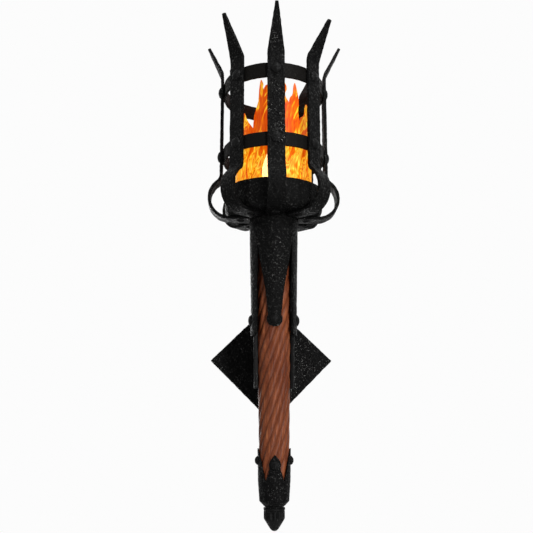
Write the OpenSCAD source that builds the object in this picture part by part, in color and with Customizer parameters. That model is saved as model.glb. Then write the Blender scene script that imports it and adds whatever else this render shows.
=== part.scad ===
// Wall torch sconce: a caged flame lamp on a spiral-carved wooden handle,
// held off the wall by a yoke, an arm and a diamond plate.
//
// The origin is the centre of the wall plate's back face. The wall is the XZ plane,
// the front is -Y and +Z is up. The torch has its own frame: its axis is local Z,
// its origin is where the arm's line meets the axis, and it leans away from the wall.

/* [Wall bracket] */
// Angle that the torch leans out from the wall, degrees
lean = 10; // [4:1:14]
// Distance from the wall to the torch axis, at the arm
wall_gap = 88; // [84:1:120]
// Side of the square wall plate, which hangs on one corner
plate_side = 134; // [120:1:170]
// Thickness of the wall plate
plate_t = 5; // [4:0.5:8]
// Distance between the two screw holes for the wall box
box_screw_spacing = 88.9; // [70:0.1:100]
// Radius of a wall box screw hole
box_screw_r = 2.4; // [2:0.1:3]
// Outer radius of the arm tube
arm_r = 11; // [10:0.5:12.5]
// Wall of the arm tube
arm_wall = 2; // [1.5:0.1:3]
// Radius of the round flange between arm and plate
flange_r = 24; // [20:1:30]
// Thickness of the round flange
flange_t = 4; // [3:0.5:6]
// Width of a yoke leg
yoke_w = 12.7; // [10:0.1:16]
// Thickness of the yoke bar
yoke_t = 5.8; // [4:0.1:7]
// Length of a yoke leg above the arm
yoke_up = 50; // [48:1:56]
// Length of a yoke leg below the arm
yoke_down = 59; // [30:1:80]
// Height of the hoop that joins the legs behind the handle
hoop_h = 26; // [24:1:34]

/* [Handle] */
// Height of the handle's top end above the arm
handle_top = 190; // [170:1:205]
// Depth of the fluted wood's lower end below the arm
handle_bottom = 186; // [150:1:220]
// Radius of the wood at its top end
handle_top_r = 26.4; // [25:0.1:28]
// Radius of the fluted wood at its lower end
handle_bottom_r = 20.9; // [20:0.1:22]
// Number of spiral ridges
ridges = 12; // [8:1:18]
// Depth of the grooves between the ridges
groove_depth = 1.5; // [0.5:0.1:2.5]
// Height in which a ridge goes once round
spiral_lead = 310; // [200:5:500]
// Radius of the plain end inside the ferrule
tenon_r = 18.6; // [16:0.1:19.2]
// Thickness of the ferrule's solid end below the plain end
ferrule_end_t = 10; // [6:0.5:14]

/* [Cage] */
// Width of a strap
strap_w = 25.4; // [20:0.1:27]
// Thickness of a strap
strap_t = 4.5; // [3:0.1:6]
// Radius to the outside of the straps
cage_r = 82; // [78:0.5:90]
// Thickness of the two ring bands
ring_t = 3.6; // [2.5:0.1:5]
// Height of the top ring
top_ring_h = 23; // [18:1:28]
// Height of the middle ring
middle_ring_h = 21; // [16:1:26]
// Height of the top ring's centre above the bowl's rim
top_ring_up = 163; // [140:1:180]
// Height of the middle ring's centre above the bowl's rim
middle_ring_up = 56; // [45:1:70]
// Height of the bend where a spike leans out, above the bowl's rim
spike_bend_up = 191; // [184:1:200]
// Radius at each spike's tip, from the front strap and on to the right
spike_tip_r = [106, 113, 106, 108, 110, 96, 102, 109];
// Height of each spike above its bend, in the same order
spike_tip_up = [64, 53, 53, 56, 54, 50, 48, 61];
// Width of the blunt tip of a spike
spike_tip_w = 4.6; // [3:0.1:8]
// Radius to the middle of a strap where it bows out round the bowl
bow_r = 97; // [94:0.1:104]
// Radius of the bow's lower quarter
bow_low = 31; // [29:0.1:33]
// Radius of the bow's upper part
bow_high = 32.5; // [30:0.1:35]
// Radius of the large rivets' heads
rivet_r = 8.3; // [6:0.1:9]
// Height of the large rivets' heads
rivet_h = 4.4; // [3:0.1:5]
// Radius of a rivet's shank
shank_r = 3; // [2:0.1:3.5]

/* [Bowl] */
// Outer radius of the bowl
bowl_r = 73.2; // [70:0.1:75]
// Height of the bowl
bowl_h = 40.4; // [36:0.2:48]
// Wall of the bowl
bowl_wall = 2.5; // [2:0.1:4]
// Radius of the round corner under the bowl
bowl_corner = 12; // [8:0.5:13]
// Radius on which the strap feet are riveted to the bowl
foot_rivet_ring = 50; // [46:0.5:54]

/* [Flame shade] */
// Outer radius of the flame shade
shade_r = 58; // [55:0.5:60]
// Wall of the flame shade
shade_wall = 1; // [0.8:0.1:2]
// Height of the shade's closed part, below all the flames
shade_h = 118; // [100:1:140]
// Height of each flame's tip above the closed part, from the one left of the front strap and on to the right
tongue_up = [78, 86, 76, 50, 60, 44, 40, 46, 38, 42, 55, 48, 32];
// Angle of that tip from the front, to the right
tongue_at = [-21, 3, 31, 57, 87, 114, 142, 168, 197, 223, 251, 278, 308];
// Height of the valley to the right of each tongue
valley_up = [62, 42, 15, 22, 26, 12, 18, 10, 16, 8, 22, 14, 3];
// Angle of that valley from the front, to the right
valley_at = [-17, 21, 40, 73, 101, 128, 155, 183, 210, 237, 264, 292, 326];
// Height of the ring that centres the shade in the bowl
seat_h = 9; // [6:1:14]

/* [Lamp] */
// Outer radius of the lamp holder
holder_r = 13.5; // [12:0.5:16]
// Height of the lamp holder
holder_h = 36; // [32:1:42]
// Radius of the bulb's screw base
base_r = 5.95; // [5:0.05:7]
// Length of the bulb's screw base
base_l = 16; // [14:0.5:18]
// Largest radius of the bulb
bulb_r = 17.5; // [15:0.5:20]
// Height of the bulb's glass
bulb_h = 78; // [65:1:90]
// Radius of the tube that ties the torch together
tube_r = 5; // [4.5:0.1:5.5]
// Wall of that tube
tube_wall = 1.3; // [1:0.1:1.5]
// Radius of one supply lead over its insulation
lead_r = 1.1; // [0.8:0.1:1.3]

/* [Collar] */
// Radius of the socket collar at its top
collar_top_r = 36.2; // [35:0.1:38]
// Radius of the collar's side tongues
collar_low_r = 33.6; // [33.5:0.1:35]
// Wall of the collar
collar_wall = 2.9; // [2:0.1:2.9]
// Height of the notches' upper ends above the arm
notch_top = 150; // [130:1:160]
// Height of the collar's rivets above the arm
collar_rivet_z = 38; // [36:1:44]
// Height of the side tongues' lower ends above the arm
side_tongue_z = 15; // [14:1:22]
// Half the width of a side tongue
side_tongue_w = 20.5; // [14:0.5:22]
// Radius of the round end of the front and rear tongues
boss_r = 11.4; // [9:0.1:13]
// Radius of the rivet heads on the side tongues
side_rivet_r = 8.4; // [5:0.1:10]
// Radius of the rivet heads on the round ends
boss_rivet_r = 7.2; // [5:0.1:9]
// Height of the rivet heads on the collar
collar_rivet_h = 3.9; // [2.5:0.1:5]

/* [Ferrule and finial] */
// Wall of the ferrule
ferrule_wall = 1.7; // [1.2:0.1:2]
// Height of the front petal's tip above the end of the fluted wood
front_petal_up = 37; // [30:1:46]
// Height of the side petals' tips above the end of the fluted wood
side_petal_up = 45; // [38:1:52]
// Length of a petal, from its tip to the notches
petal_l = 35; // [30:1:40]
// Radius of the ferrule at its lower end
ferrule_end_r = 20.7; // [20:0.1:22]
// Height of the ferrule's closed part below the end of the fluted wood
ferrule_h = 31; // [26:1:39]
// Radius of the finial's collar
finial_r = 14.9; // [12:0.1:17]
// Length of the finial
finial_l = 33; // [24:1:40]
// Number of flutes round the finial
finial_flutes = 12; // [10:1:18]
// Radius of the small rivets' heads on the ferrule and under the straps' feet
small_rivet_r = 6.2; // [4:0.1:7]
// Height of the ferrule rivets' heads
small_rivet_h = 3.9; // [2.5:0.1:4.5]

/* [Hidden] */
$fn = 64;

iron = "#1d1c1d";
worn_iron = "#2b292a";
wood = "#7d4a32";
flame = "#ff9a1f";
brass = "#b08d4a";
phenolic = "#1b1a1a";
glass = "#fff3d8";
lead_colour = "#3a2a20";

straps = 8;          // one node each, so the number is fixed
slip = 0.1;          // clearance round a shank, a tube or a tenon in its hole
seat_gap = 0.3;      // clearance between the lifted shade and what carries it
eps = 0.01;
far = 400;           // longer than any cut that has to pass right through
core_r = 15;         // clear of the tube and inside every sheet round the handle: where rivet holes start
pin_depth = 12;      // how far the front rivets' shanks reach into the wood
side_pin_depth = 15; // the same at the sides, where the tongues stand off the wood

// Heights along the torch axis
foot_top = handle_top + collar_wall + slip;    // strap feet under the bowl, collar's cap
foot_z = foot_top - strap_t / 2;
bow_z = foot_z + bow_low;                      // widest point of the bows
floor_z = foot_top + bowl_wall;                // inside the bowl
rim_z = foot_top + bowl_h;
top_ring_z = rim_z + top_ring_up;
middle_ring_z = rim_z + middle_ring_up;
spike_bend_z = rim_z + spike_bend_up;
strap_r = cage_r - strap_t / 2;                // middle of a strap's thickness
ring_r = cage_r - strap_t;                     // outside of the rings
strap_step = 360 / straps;

// Depths below the arm, at the torch's lower end
ferrule_bottom = handle_bottom + ferrule_h;
tenon_l = ferrule_h - ferrule_end_t;
front_petal_tip = handle_bottom - front_petal_up;
side_petal_tip = handle_bottom - side_petal_up;

washer_t = 1.6;
washer_r = 10;
nut_h = 5;
nut_af = 15;                                   // across the flats
holder_z = floor_z + washer_t + nut_h;
tube_top_z = holder_z + 8;
tube_bottom_z = -(ferrule_bottom + finial_l * 0.6);
tube_hole_r = tube_r + slip;
socket_floor_z = holder_z + 14;                // floor of the holder's upper bore
contact_h = 2;
base_z = socket_floor_z + 2 * contact_h + seat_gap;
glass_z = base_z + base_l;
shell_in_r = base_r + 0.08;                    // running fit of the screw base
shell_t = 0.9;
holder_bore_r = shell_in_r + shell_t + slip;

fluted_l = handle_top + handle_bottom;
function wood_r(z) = handle_bottom_r + (handle_top_r - handle_bottom_r) * (z + handle_bottom) / fluted_l;

/* ---- helpers ---- */

function arc(c, r, a0, a1, n) = [for (i = [0:n]) let (a = a0 + (a1 - a0) * i / n)
    [c[0] + r * cos(a), c[1] + r * sin(a)]];
function unit(v) = v / norm(v);
function way(p, i) = unit(p[min(i + 1, len(p) - 1)] - p[max(i - 1, 0)]);
// A band of even thickness t on both sides of a path
function band(p, t) = concat(
    [for (i = [0:len(p) - 1]) p[i] + t / 2 * [-way(p, i)[1], way(p, i)[0]]],
    [for (i = [len(p) - 1:-1:0]) p[i] - t / 2 * [-way(p, i)[1], way(p, i)[0]]]);
// The same outline on both sides of the middle line, from its right half
function both_sides(h) = concat(h, [for (i = [len(h) - 1:-1:0]) [-h[i][0], h[i][1]]]);

// The torch's own frame
module on_torch() {
    translate([0, -wall_gap, 0]) rotate([lean, 0, 0]) children();
}
// Turns a child that faces the front to an angle round the torch axis
module at(angle) {
    rotate([0, 0, angle]) children();
}
// A profile of radius and height, made one strap wide and facing the front
module across(w) {
    rotate([90, 0, -90]) linear_extrude(height = w, center = true) children();
}
// A front outline of width and height, run out from the axis towards the front
module outward(reach) {
    rotate([90, 0, 0]) linear_extrude(height = reach) children();
}
// A round bar along the front direction, from one radius to another
module radial(r, from, to) {
    translate([0, -from, 0]) rotate([90, 0, 0]) cylinder(r = r, h = to - from);
}
// A domed head whose flat side lies at a radius and faces the axis
module dome(r, h) {
    ball = (r * r + h * h) / (2 * h);
    rotate([90, 0, 0]) intersection() {
        translate([0, 0, h - ball]) sphere(r = ball);
        cylinder(r = r, h = h + eps);
    }
}
// A domed head that fits a round wall of radius wall_r and faces the front
module dome_on_round(r, h, wall_r) {
    sink = wall_r - sqrt(wall_r * wall_r - r * r);
    difference() {
        translate([0, sink - wall_r, 0]) dome(r, h + sink);
        translate([0, 0, -r - 1]) cylinder(r = wall_r, h = 2 * r + 2, $fn = 96);
    }
}
// A rivet along the front direction: a dome outside, a shank and a flat head inside
module radial_rivet(inside, outside, head_r, head_h, back_h) {
    back_r = shank_r * 1.7;
    curve = inside - sqrt(inside * inside - back_r * back_r);
    translate([0, -outside, 0]) dome(head_r, head_h);
    radial(shank_r, inside - back_h, outside + eps);
    radial(back_r, inside - curve - back_h, inside - curve);
}

/* ---- cage ---- */

bow_high_c = [bow_r - bow_high, bow_z];
bow_low_c = [bow_r - bow_low, bow_z];
bow_lift = 51;       // how far round its upper part the bow starts
bow_start = bow_high_c + bow_high * [cos(bow_lift), sin(bow_lift)];
neck_z = bow_start[1] + (bow_start[0] - strap_r) * cos(bow_lift) / sin(bow_lift);
foot_end_r = collar_top_r + 2 * slip;
bend_r = 22;         // inside radius of the bend at the foot of a spike

// Middle line of a strap, from the spike's tip down to its foot under the bowl
function strap_path(tip_r, tip_up) =
    let (a = atan2(tip_r - strap_r, tip_up), run = bend_r * tan(a / 2))
    concat(
        [[tip_r, spike_bend_z + tip_up]],
        arc([strap_r + bend_r, spike_bend_z - run], bend_r, 180 - a, 180, 4),
        [[strap_r, neck_z]],
        arc(bow_high_c, bow_high, bow_lift, 0, 8),
        arc(bow_low_c, bow_low, -9, -90, 9),
        [[foot_end_r, foot_z]]);

module cage_strap(i) {
    tip_top = spike_bend_z + spike_tip_up[i];
    at(i * strap_step) difference() {
        intersection() {
            across(strap_w) polygon(band(strap_path(spike_tip_r[i], spike_tip_up[i]), strap_t));
            outward(far) polygon(both_sides([
                [strap_w / 2, foot_z - strap_t],
                [strap_w / 2, spike_bend_z],
                [spike_tip_w / 2 + 0.6, tip_top - 2],
                [spike_tip_w / 2 - 0.8, tip_top + strap_t]]));
            translate([-far / 2, -far, 0]) cube([far, far, tip_top]);
        }
        for (z = [top_ring_z, middle_ring_z])
            translate([0, 0, z]) radial(shank_r + slip, ring_r - 1, cage_r + 1);
        translate([0, -foot_rivet_ring, foot_z - strap_t]) cylinder(r = shank_r + slip, h = 2 * strap_t);
    }
}

module ring_band(z, h) {
    difference() {
        translate([0, 0, z - h / 2]) difference() {
            cylinder(r = ring_r, h = h, $fn = 128);
            translate([0, 0, -1]) cylinder(r = ring_r - ring_t, h = h + 2, $fn = 128);
        }
        for (i = [0:straps - 1])
            at(i * strap_step) translate([0, 0, z]) radial(shank_r + slip, ring_r - ring_t - 1, ring_r + 1);
    }
}

module ring_rivets(z) {
    for (i = [0:straps - 1])
        at(i * strap_step) translate([0, 0, z])
            radial_rivet(ring_r - ring_t, cage_r, rivet_r, rivet_h, 1.5);
}

module top_ring() {
    color(iron) on_torch() ring_band(top_ring_z, top_ring_h);
}
module middle_ring() {
    color(iron) on_torch() ring_band(middle_ring_z, middle_ring_h);
}
module top_ring_rivets() {
    color(worn_iron) on_torch() ring_rivets(top_ring_z);
}
module middle_ring_rivets() {
    color(worn_iron) on_torch() ring_rivets(middle_ring_z);
}

/* ---- bowl ---- */

module bowl() {
    flat_r = bowl_r - bowl_corner;
    corner_z = foot_top + bowl_corner;
    color(iron) on_torch() difference() {
        rotate_extrude($fn = 128) difference() {
            union() {
                translate([0, foot_top]) square([flat_r, bowl_corner]);
                translate([0, corner_z]) square([bowl_r, bowl_h - bowl_corner]);
                intersection() {
                    translate([flat_r, corner_z]) circle(r = bowl_corner);
                    translate([0, foot_top]) square([bowl_r, bowl_corner]);
                }
            }
            translate([0, floor_z]) square([flat_r, bowl_h]);
            translate([0, corner_z]) square([bowl_r - bowl_wall, bowl_h]);
            intersection() {
                translate([flat_r, corner_z]) circle(r = bowl_corner - bowl_wall);
                translate([0, foot_top]) square([bowl_r, bowl_corner]);
            }
        }
        translate([0, 0, foot_top - 1]) cylinder(r = tube_hole_r, h = bowl_wall + 2);
        for (i = [0:straps - 1])
            at(i * strap_step) translate([0, -foot_rivet_ring, foot_top - 1])
                cylinder(r = shank_r + slip, h = bowl_wall + 2);
    }
}

module strap_foot_rivets() {
    head_h = 2.6;
    color(worn_iron) on_torch() for (i = [0:straps - 1]) at(i * strap_step)
        translate([0, -foot_rivet_ring, 0]) {
            translate([0, 0, foot_top - strap_t - eps]) cylinder(r = shank_r, h = strap_t + bowl_wall + 2 * eps);
            translate([0, 0, foot_top - strap_t]) rotate([90, 0, 0]) dome(small_rivet_r, head_h);
            translate([0, 0, floor_z]) cylinder(r = shank_r * 1.6, h = 1.4);
        }
}

/* ---- flame shade ---- */

shade_z = floor_z + seat_gap;
tongues = len(tongue_up);

// A tongue's edges from valley to tip, in shares of its half width and of its height. Its left edge is hollow and
// its right one swells, except that the leaning tongues swell on the left and are straight on the right.
hollow_edge = [[1, 0], [0.97, 0.1], [0.86, 0.26], [0.5, 0.38], [0.35, 0.5], [0.3, 0.64], [0.25, 0.8], [0.14, 0.94],
    [0.04, 1]];
swelling_edge = [[1, 0], [0.75, 0.15], [0.62, 0.27], [0.68, 0.36], [0.8, 0.46], [0.78, 0.58], [0.64, 0.7],
    [0.4, 0.84], [0.2, 0.95], [0.04, 1]];
straight_edge = [[1, 0], [0.52, 0.4], [0.24, 0.7], [0.04, 1]];
leaning_tongues = [4, 9, 12];
function edge_points(edge, w, base, tip) = [for (p = edge) [w * p[0], base + (tip - base) * p[1]]];
function tongue_outline(left_edge, left_w, right_edge, right_w, left, right, tip) = concat(
    [[-left_w, -shade_h], [right_w, -shade_h]],
    edge_points(right_edge, right_w, right, tip),
    [for (i = [len(left_edge) - 1:-1:0]) edge_points(left_edge, -left_w, left, tip)[i]]);

module flame_shade() {
    reach = shade_r + 5;
    color(flame, 0.6) on_torch() translate([0, 0, shade_z + shade_h]) intersection() {
        translate([0, 0, -shade_h]) difference() {
            cylinder(r = shade_r, h = far, $fn = 128);
            translate([0, 0, -1]) cylinder(r = shade_r - shade_wall, h = far + 2, $fn = 128);
        }
        union() {
            translate([0, 0, -shade_h]) cylinder(r = reach, h = shade_h);
            for (i = [0:tongues - 1]) {
                before = (i + tongues - 1) % tongues;
                from = valley_at[before] - (i == 0 ? 360 : 0);
                leans = len(search(i, leaning_tongues)) > 0;
                at(tongue_at[i]) outward(reach) polygon(tongue_outline(
                    leans ? swelling_edge : hollow_edge, shade_r * tan(tongue_at[i] - from),
                    leans ? straight_edge : swelling_edge, shade_r * tan(valley_at[i] - tongue_at[i]),
                    valley_up[before], valley_up[i], tongue_up[i]));
            }
        }
    }
}

module shade_seat_ring() {
    seat_r = shade_r - shade_wall - seat_gap;
    color(worn_iron) on_torch() translate([0, 0, floor_z]) difference() {
        cylinder(r = seat_r, h = seat_h, $fn = 128);
        translate([0, 0, -1]) cylinder(r = seat_r - 1.2, h = seat_h + 2, $fn = 128);
    }
}

/* ---- lamp ---- */

// Outside of the bulb's glass: a neck, a swell and a candle tip
function bulb_outline(r, h, off) = concat(
    [[0, 0], [base_r * 0.86 - off, 0]],
    [for (i = [1:12]) let (t = i / 12)
        [base_r * 0.86 + (r - base_r * 0.86) * sin(90 * t) - off, h * 0.36 * t]],
    [for (i = [1:12]) let (t = i / 13)
        [1.2 + (r - 1.2) * pow(cos(90 * t), 0.92) - off, h * 0.36 + (h * 0.64 - off) * t]],
    [[0, h - off]]);

module bulb_glass() {
    shell = 0.8;
    color(glass, 0.5) on_torch() translate([0, 0, glass_z]) rotate_extrude() difference() {
        polygon(bulb_outline(bulb_r, bulb_h, 0));
        translate([0, shell]) polygon(bulb_outline(bulb_r, bulb_h - shell, shell));
    }
}

module bulb_filament() {
    stem_r = 2;
    rods = 4;
    rod_ring = 5;
    color(flame) on_torch() translate([0, 0, glass_z + 0.8]) {
        cylinder(r = stem_r, h = bulb_h * 0.24);
        translate([0, 0, bulb_h * 0.24 - 1]) cylinder(r = rod_ring + 1, h = 1);
        for (i = [0:rods - 1]) at(i * 360 / rods)
            translate([0, -rod_ring, bulb_h * 0.24 - eps]) cylinder(r = 0.8, h = bulb_h * 0.4);
    }
}

module bulb_screw_base() {
    color(brass) on_torch() translate([0, 0, base_z]) difference() {
        union() {
            cylinder(r = base_r, h = base_l);
            cylinder(r1 = base_r - 1, r2 = base_r, h = 0.5);
        }
        translate([0, 0, 1]) cylinder(r = base_r - 0.7, h = base_l);
    }
}

module bulb_tip_contact() {
    color(brass) on_torch() translate([0, 0, base_z - contact_h]) cylinder(r = 2.4, h = contact_h);
}

module lamp_holder_body() {
    color(phenolic) on_torch() translate([0, 0, holder_z]) difference() {
        union() {
            cylinder(r = holder_r - 2, h = 10);
            translate([0, 0, 6]) cylinder(r = holder_r, h = holder_h - 6);
        }
        translate([0, 0, socket_floor_z - holder_z]) cylinder(r = holder_bore_r, h = holder_h);
        translate([0, 0, -1]) cylinder(r = tube_hole_r, h = tube_top_z - holder_z + 1);
        for (x = [-1, 1])
            translate([x * (lead_r + 0.25), 0, 0]) cylinder(r = lead_r + slip, h = holder_h);
    }
}

module lamp_holder_screw_shell() {
    color(brass) on_torch() translate([0, 0, socket_floor_z]) difference() {
        cylinder(r = shell_in_r + shell_t, h = holder_z + holder_h - socket_floor_z - 0.5);
        translate([0, 0, contact_h]) cylinder(r = shell_in_r, h = holder_h);
        translate([0, 0, -1]) cylinder(r = 4, h = holder_h);
    }
}

module lamp_holder_centre_contact() {
    color(brass) on_torch() translate([0, 0, socket_floor_z]) cylinder(r = 3, h = contact_h);
}

module clamp_nut() {
    color(brass) on_torch() translate([0, 0, floor_z + washer_t]) difference() {
        cylinder(r = nut_af / sqrt(3), h = nut_h, $fn = 6);
        translate([0, 0, -1]) cylinder(r = tube_hole_r, h = nut_h + 2);
    }
}

module clamp_washer() {
    color(brass) on_torch() translate([0, 0, floor_z]) difference() {
        cylinder(r = washer_r, h = washer_t);
        translate([0, 0, -1]) cylinder(r = tube_hole_r, h = washer_t + 2);
    }
}

window_h = 34;       // slot in the tube where the leads turn into the arm
module centre_tube() {
    color(brass) on_torch() difference() {
        translate([0, 0, tube_bottom_z]) cylinder(r = tube_r, h = tube_top_z - tube_bottom_z);
        translate([0, 0, tube_bottom_z - 1])
            cylinder(r = tube_r - tube_wall, h = tube_top_z - tube_bottom_z + 2);
        translate([-(tube_r - tube_wall), 0, -window_h / 2]) cube([2 * (tube_r - tube_wall), 2 * tube_r, window_h]);
    }
}

lead_bend = 10;      // bend radius of the leads
lead_turn = 90 - lean;
lead_bend_z = lead_bend * (sin(lead_turn) - tan(lean) * (1 - cos(lead_turn)));
module supply_leads() {
    arm_run = wall_gap - lead_bend * (1 - cos(lead_turn)) / cos(lean);
    overlap = 0.05;  // makes the straight run a little thicker than the bend, so the two join as one solid
    color(lead_colour) for (side = [-1, 1]) {
        x = side * (lead_r + 0.25);
        on_torch() {
            translate([x, 0, lead_bend_z]) cylinder(r = lead_r, h = socket_floor_z - lead_bend_z - eps);
            translate([x, lead_bend, lead_bend_z]) rotate([90, 0, 90]) rotate([0, 0, 180])
                rotate_extrude(angle = lead_turn) translate([lead_bend, 0]) circle(r = lead_r, $fn = 24);
        }
        translate([x, 0, 0]) rotate([90, 0, 0]) cylinder(r = lead_r + overlap, h = arm_run + 0.5);
    }
}

/* ---- collar ---- */

collar_top_z = foot_top;
// The four tongues share one taper in their roots, narrow from there to taper_z and are straight below it. The
// whole part of the collar reaches a little way down into the roots.
taper_z = collar_rivet_z + 2 * boss_r;
root_h = 3;
root_r = collar_top_r - 0.6;
root_lap = 1;
module collar_shell(low_r) {
    cap = collar_wall;
    rotate_extrude(convexity = 4, $fn = 96) polygon([
        [0, collar_top_z], [collar_top_r, collar_top_z], [collar_top_r - 0.5, notch_top],
        [root_r, notch_top - root_h], [low_r, taper_z], [low_r, 0], [low_r - collar_wall, 0],
        [low_r - collar_wall, taper_z], [root_r - collar_wall, notch_top - root_h],
        [collar_top_r - 0.5 - collar_wall, notch_top], [collar_top_r - collar_wall, collar_top_z - cap],
        [0, collar_top_z - cap]]);
}

// Radius at which the front and rear tongues lie on the wood
front_tongue_r = wood_r(collar_rivet_z + boss_r) + slip + collar_wall;

module front_tongue_outline() {
    edge = (collar_top_r - 0.5) * sin(45);
    l = notch_top - collar_rivet_z - boss_r;
    polygon(both_sides([
        [edge, notch_top], [edge * 0.84, notch_top - l * 0.27], [edge * 0.67, notch_top - l * 0.5],
        [edge * 0.5, notch_top - l * 0.75], [boss_r * 0.88, collar_rivet_z + boss_r],
        [boss_r * 0.8, collar_rivet_z]]));
    translate([0, collar_rivet_z]) circle(r = boss_r);
}

module side_tongue_outline() {
    edge = (collar_top_r - 0.5) * sin(45);
    l = notch_top - side_tongue_z;
    polygon(both_sides([
        [edge, notch_top], [side_tongue_w * 1.12, notch_top - l * 0.25], [side_tongue_w, notch_top - l * 0.46],
        [side_tongue_w, side_tongue_z + 4], [side_tongue_w - 4, side_tongue_z]]));
}

module socket_collar() {
    color(iron) on_torch() difference() {
        union() {
            intersection() {
                collar_shell(collar_low_r);
                translate([-far / 2, -far / 2, notch_top - root_lap]) cube([far, far, far]);
            }
            for (a = [0, 180]) intersection() {
                collar_shell(front_tongue_r);
                at(a) outward(far) front_tongue_outline();
            }
            for (a = [90, 270]) intersection() {
                collar_shell(collar_low_r);
                at(a) outward(far) side_tongue_outline();
            }
        }
        translate([0, 0, collar_top_z - 2 * collar_wall]) cylinder(r = tube_hole_r, h = 3 * collar_wall);
        for (a = [0:90:270])
            at(a) translate([0, 0, collar_rivet_z]) radial(shank_r + slip, core_r, collar_top_r + 1);
    }
}

module collar_rivets() {
    color(worn_iron) on_torch() translate([0, 0, collar_rivet_z]) {
        for (a = [0, 180]) at(a) {
            dome_on_round(boss_rivet_r, collar_rivet_h, front_tongue_r);
            radial(shank_r, front_tongue_r - pin_depth, front_tongue_r + 1);
        }
        for (a = [90, 270]) at(a) {
            dome_on_round(side_rivet_r, collar_rivet_h, collar_low_r);
            radial(shank_r, collar_low_r - side_pin_depth, collar_low_r + 1);
        }
    }
}

/* ---- handle ---- */

module handle() {
    points = 4;          // corners of the outline in each ridge
    turns = fluted_l / spiral_lead;
    body = handle_bottom_r;
    color(wood) on_torch() difference() {
        union() {
            translate([0, 0, -handle_bottom]) linear_extrude(
                    height = fluted_l, twist = -360 * turns, slices = 40, scale = handle_top_r / handle_bottom_r)
                polygon([for (i = [0:ridges * points - 1])
                    let (a = 360 * i / (ridges * points), r = body - groove_depth * pow(abs(cos(ridges * a / 2)), 3))
                    [r * cos(a), r * sin(a)]]);
            translate([0, 0, -handle_bottom - tenon_l]) cylinder(r = tenon_r, h = tenon_l + 1);
        }
        translate([0, 0, -far]) cylinder(r = tube_hole_r, h = 2 * far);
        rotate([-lean, 0, 0]) rotate([-90, 0, 0]) cylinder(r = arm_r - arm_wall - 2, h = far);
        for (a = [0, 180]) at(a) translate([0, 0, collar_rivet_z])
            radial(shank_r + slip, front_tongue_r - pin_depth - 1, far / 2);
        for (a = [90, 270]) at(a) translate([0, 0, collar_rivet_z])
            radial(shank_r + slip, collar_low_r - side_pin_depth - 1, far / 2);
        for (a = [0, 180]) at(a) translate([0, 0, -front_rivet_d])
            radial(petal_pin_r + slip, petal_pin_in, far / 2);
        for (a = [90, 270]) at(a) translate([0, 0, -side_rivet_d])
            radial(petal_pin_r + slip, petal_pin_in, far / 2);
    }
}

/* ---- yoke, arm and plate ---- */

// Radius of the yoke's inner face at a height: it follows the wood's taper
function yoke_in(z) = wood_r(z) + slip;

module yoke_shell(low, high) {
    rotate_extrude($fn = 96) polygon([
        [yoke_in(low), low], [yoke_in(low) + yoke_t, low],
        [yoke_in(high) + yoke_t, high], [yoke_in(high), high]]);
}

module yoke() {
    round_end = 2.5;
    color(iron) on_torch() difference() {
        intersection() {
            yoke_shell(-yoke_down, yoke_up);
            union() {
                for (a = [90, 270]) at(a) outward(far) polygon(both_sides([
                    [yoke_w / 2 - round_end, yoke_up], [yoke_w / 2, yoke_up - round_end],
                    [yoke_w / 2, round_end - yoke_down], [yoke_w / 2 - round_end, -yoke_down]]));
                translate([-far / 2, 0, -hoop_h / 2]) cube([far, far, hoop_h]);
            }
        }
        for (a = [90, 270])
            at(a) translate([0, 0, collar_rivet_z]) radial(shank_r + slip, core_r, far / 2);
        rotate([-lean, 0, 0]) rotate([-90, 0, 0]) cylinder(r = arm_r - arm_wall - 2, h = far);
    }
}

module bracket_arm() {
    color(iron) difference() {
        translate([0, -plate_t, 0]) rotate([90, 0, 0]) cylinder(r = arm_r, h = wall_gap - plate_t);
        rotate([90, 0, 0]) cylinder(r = arm_r - arm_wall, h = far);
        on_torch() translate([0, 0, -far / 2]) cylinder(r = yoke_in(0) + yoke_t, h = far, $fn = 96);
    }
}

module arm_flange() {
    color(iron) translate([0, -plate_t, 0]) rotate([90, 0, 0]) difference() {
        union() {
            cylinder(r = flange_r, h = flange_t / 2);
            translate([0, 0, flange_t / 2 - eps]) cylinder(r1 = flange_r, r2 = flange_r - flange_t, h = flange_t / 2);
        }
        translate([0, 0, -1]) cylinder(r = arm_r + slip, h = flange_t + 2);
    }
}

module wall_plate() {
    bevel = 2;
    side = plate_side;
    color(iron) difference() {
        rotate([0, 45, 0]) union() {
            translate([-side / 2, -(plate_t - bevel), -side / 2]) cube([side, plate_t - bevel, side]);
            translate([-side / 2 + bevel, -plate_t, -side / 2 + bevel])
                cube([side - 2 * bevel, plate_t, side - 2 * bevel]);
        }
        translate([0, 1, 0]) rotate([90, 0, 0]) cylinder(r = arm_r - arm_wall, h = plate_t + 2);
        for (s = [-1, 1])
            translate([0, 1, s * box_screw_spacing / 2]) rotate([90, 0, 0]) cylinder(r = box_screw_r, h = plate_t + 2);
    }
}

/* ---- ferrule and finial ---- */

front_rivet_d = front_petal_tip + petal_l * 0.36;
side_rivet_d = side_petal_tip + petal_l * 0.46;
petal_pin_in = tenon_r - 6;
petal_pin_r = shank_r * 0.7;
ferrule_in_r = wood_r(-side_petal_tip) + slip;
ferrule_out_r = ferrule_in_r + ferrule_wall;
ferrule_notch_r = ferrule_out_r - 0.8;         // outside of the ferrule where the slots start
chamfer_h = 6.5;

// Half widths of a petal at shares of its length below the tip. At the notches the petals meet in points.
front_petal_w = 13.1;
front_petal = [[1, front_petal_w], [0.51, 7.6], [0.33, 8.4], [0.22, 7.1], [0.13, 4.7], [0, 0.8]];
side_petal = [[1, sqrt(pow(ferrule_notch_r, 2) - pow(front_petal_w, 2))],
    [0.7, 16.2], [0.35, 12.6], [0.2, 8.6], [0.1, 5.2], [0, 0.8]];
module petal_outline(petal, tip, notch) {
    polygon(both_sides(concat(
        [[petal[0][1], -notch - eps]], [for (p = petal) [p[1], -tip - (notch - tip) * p[0]]])));
}

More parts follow.
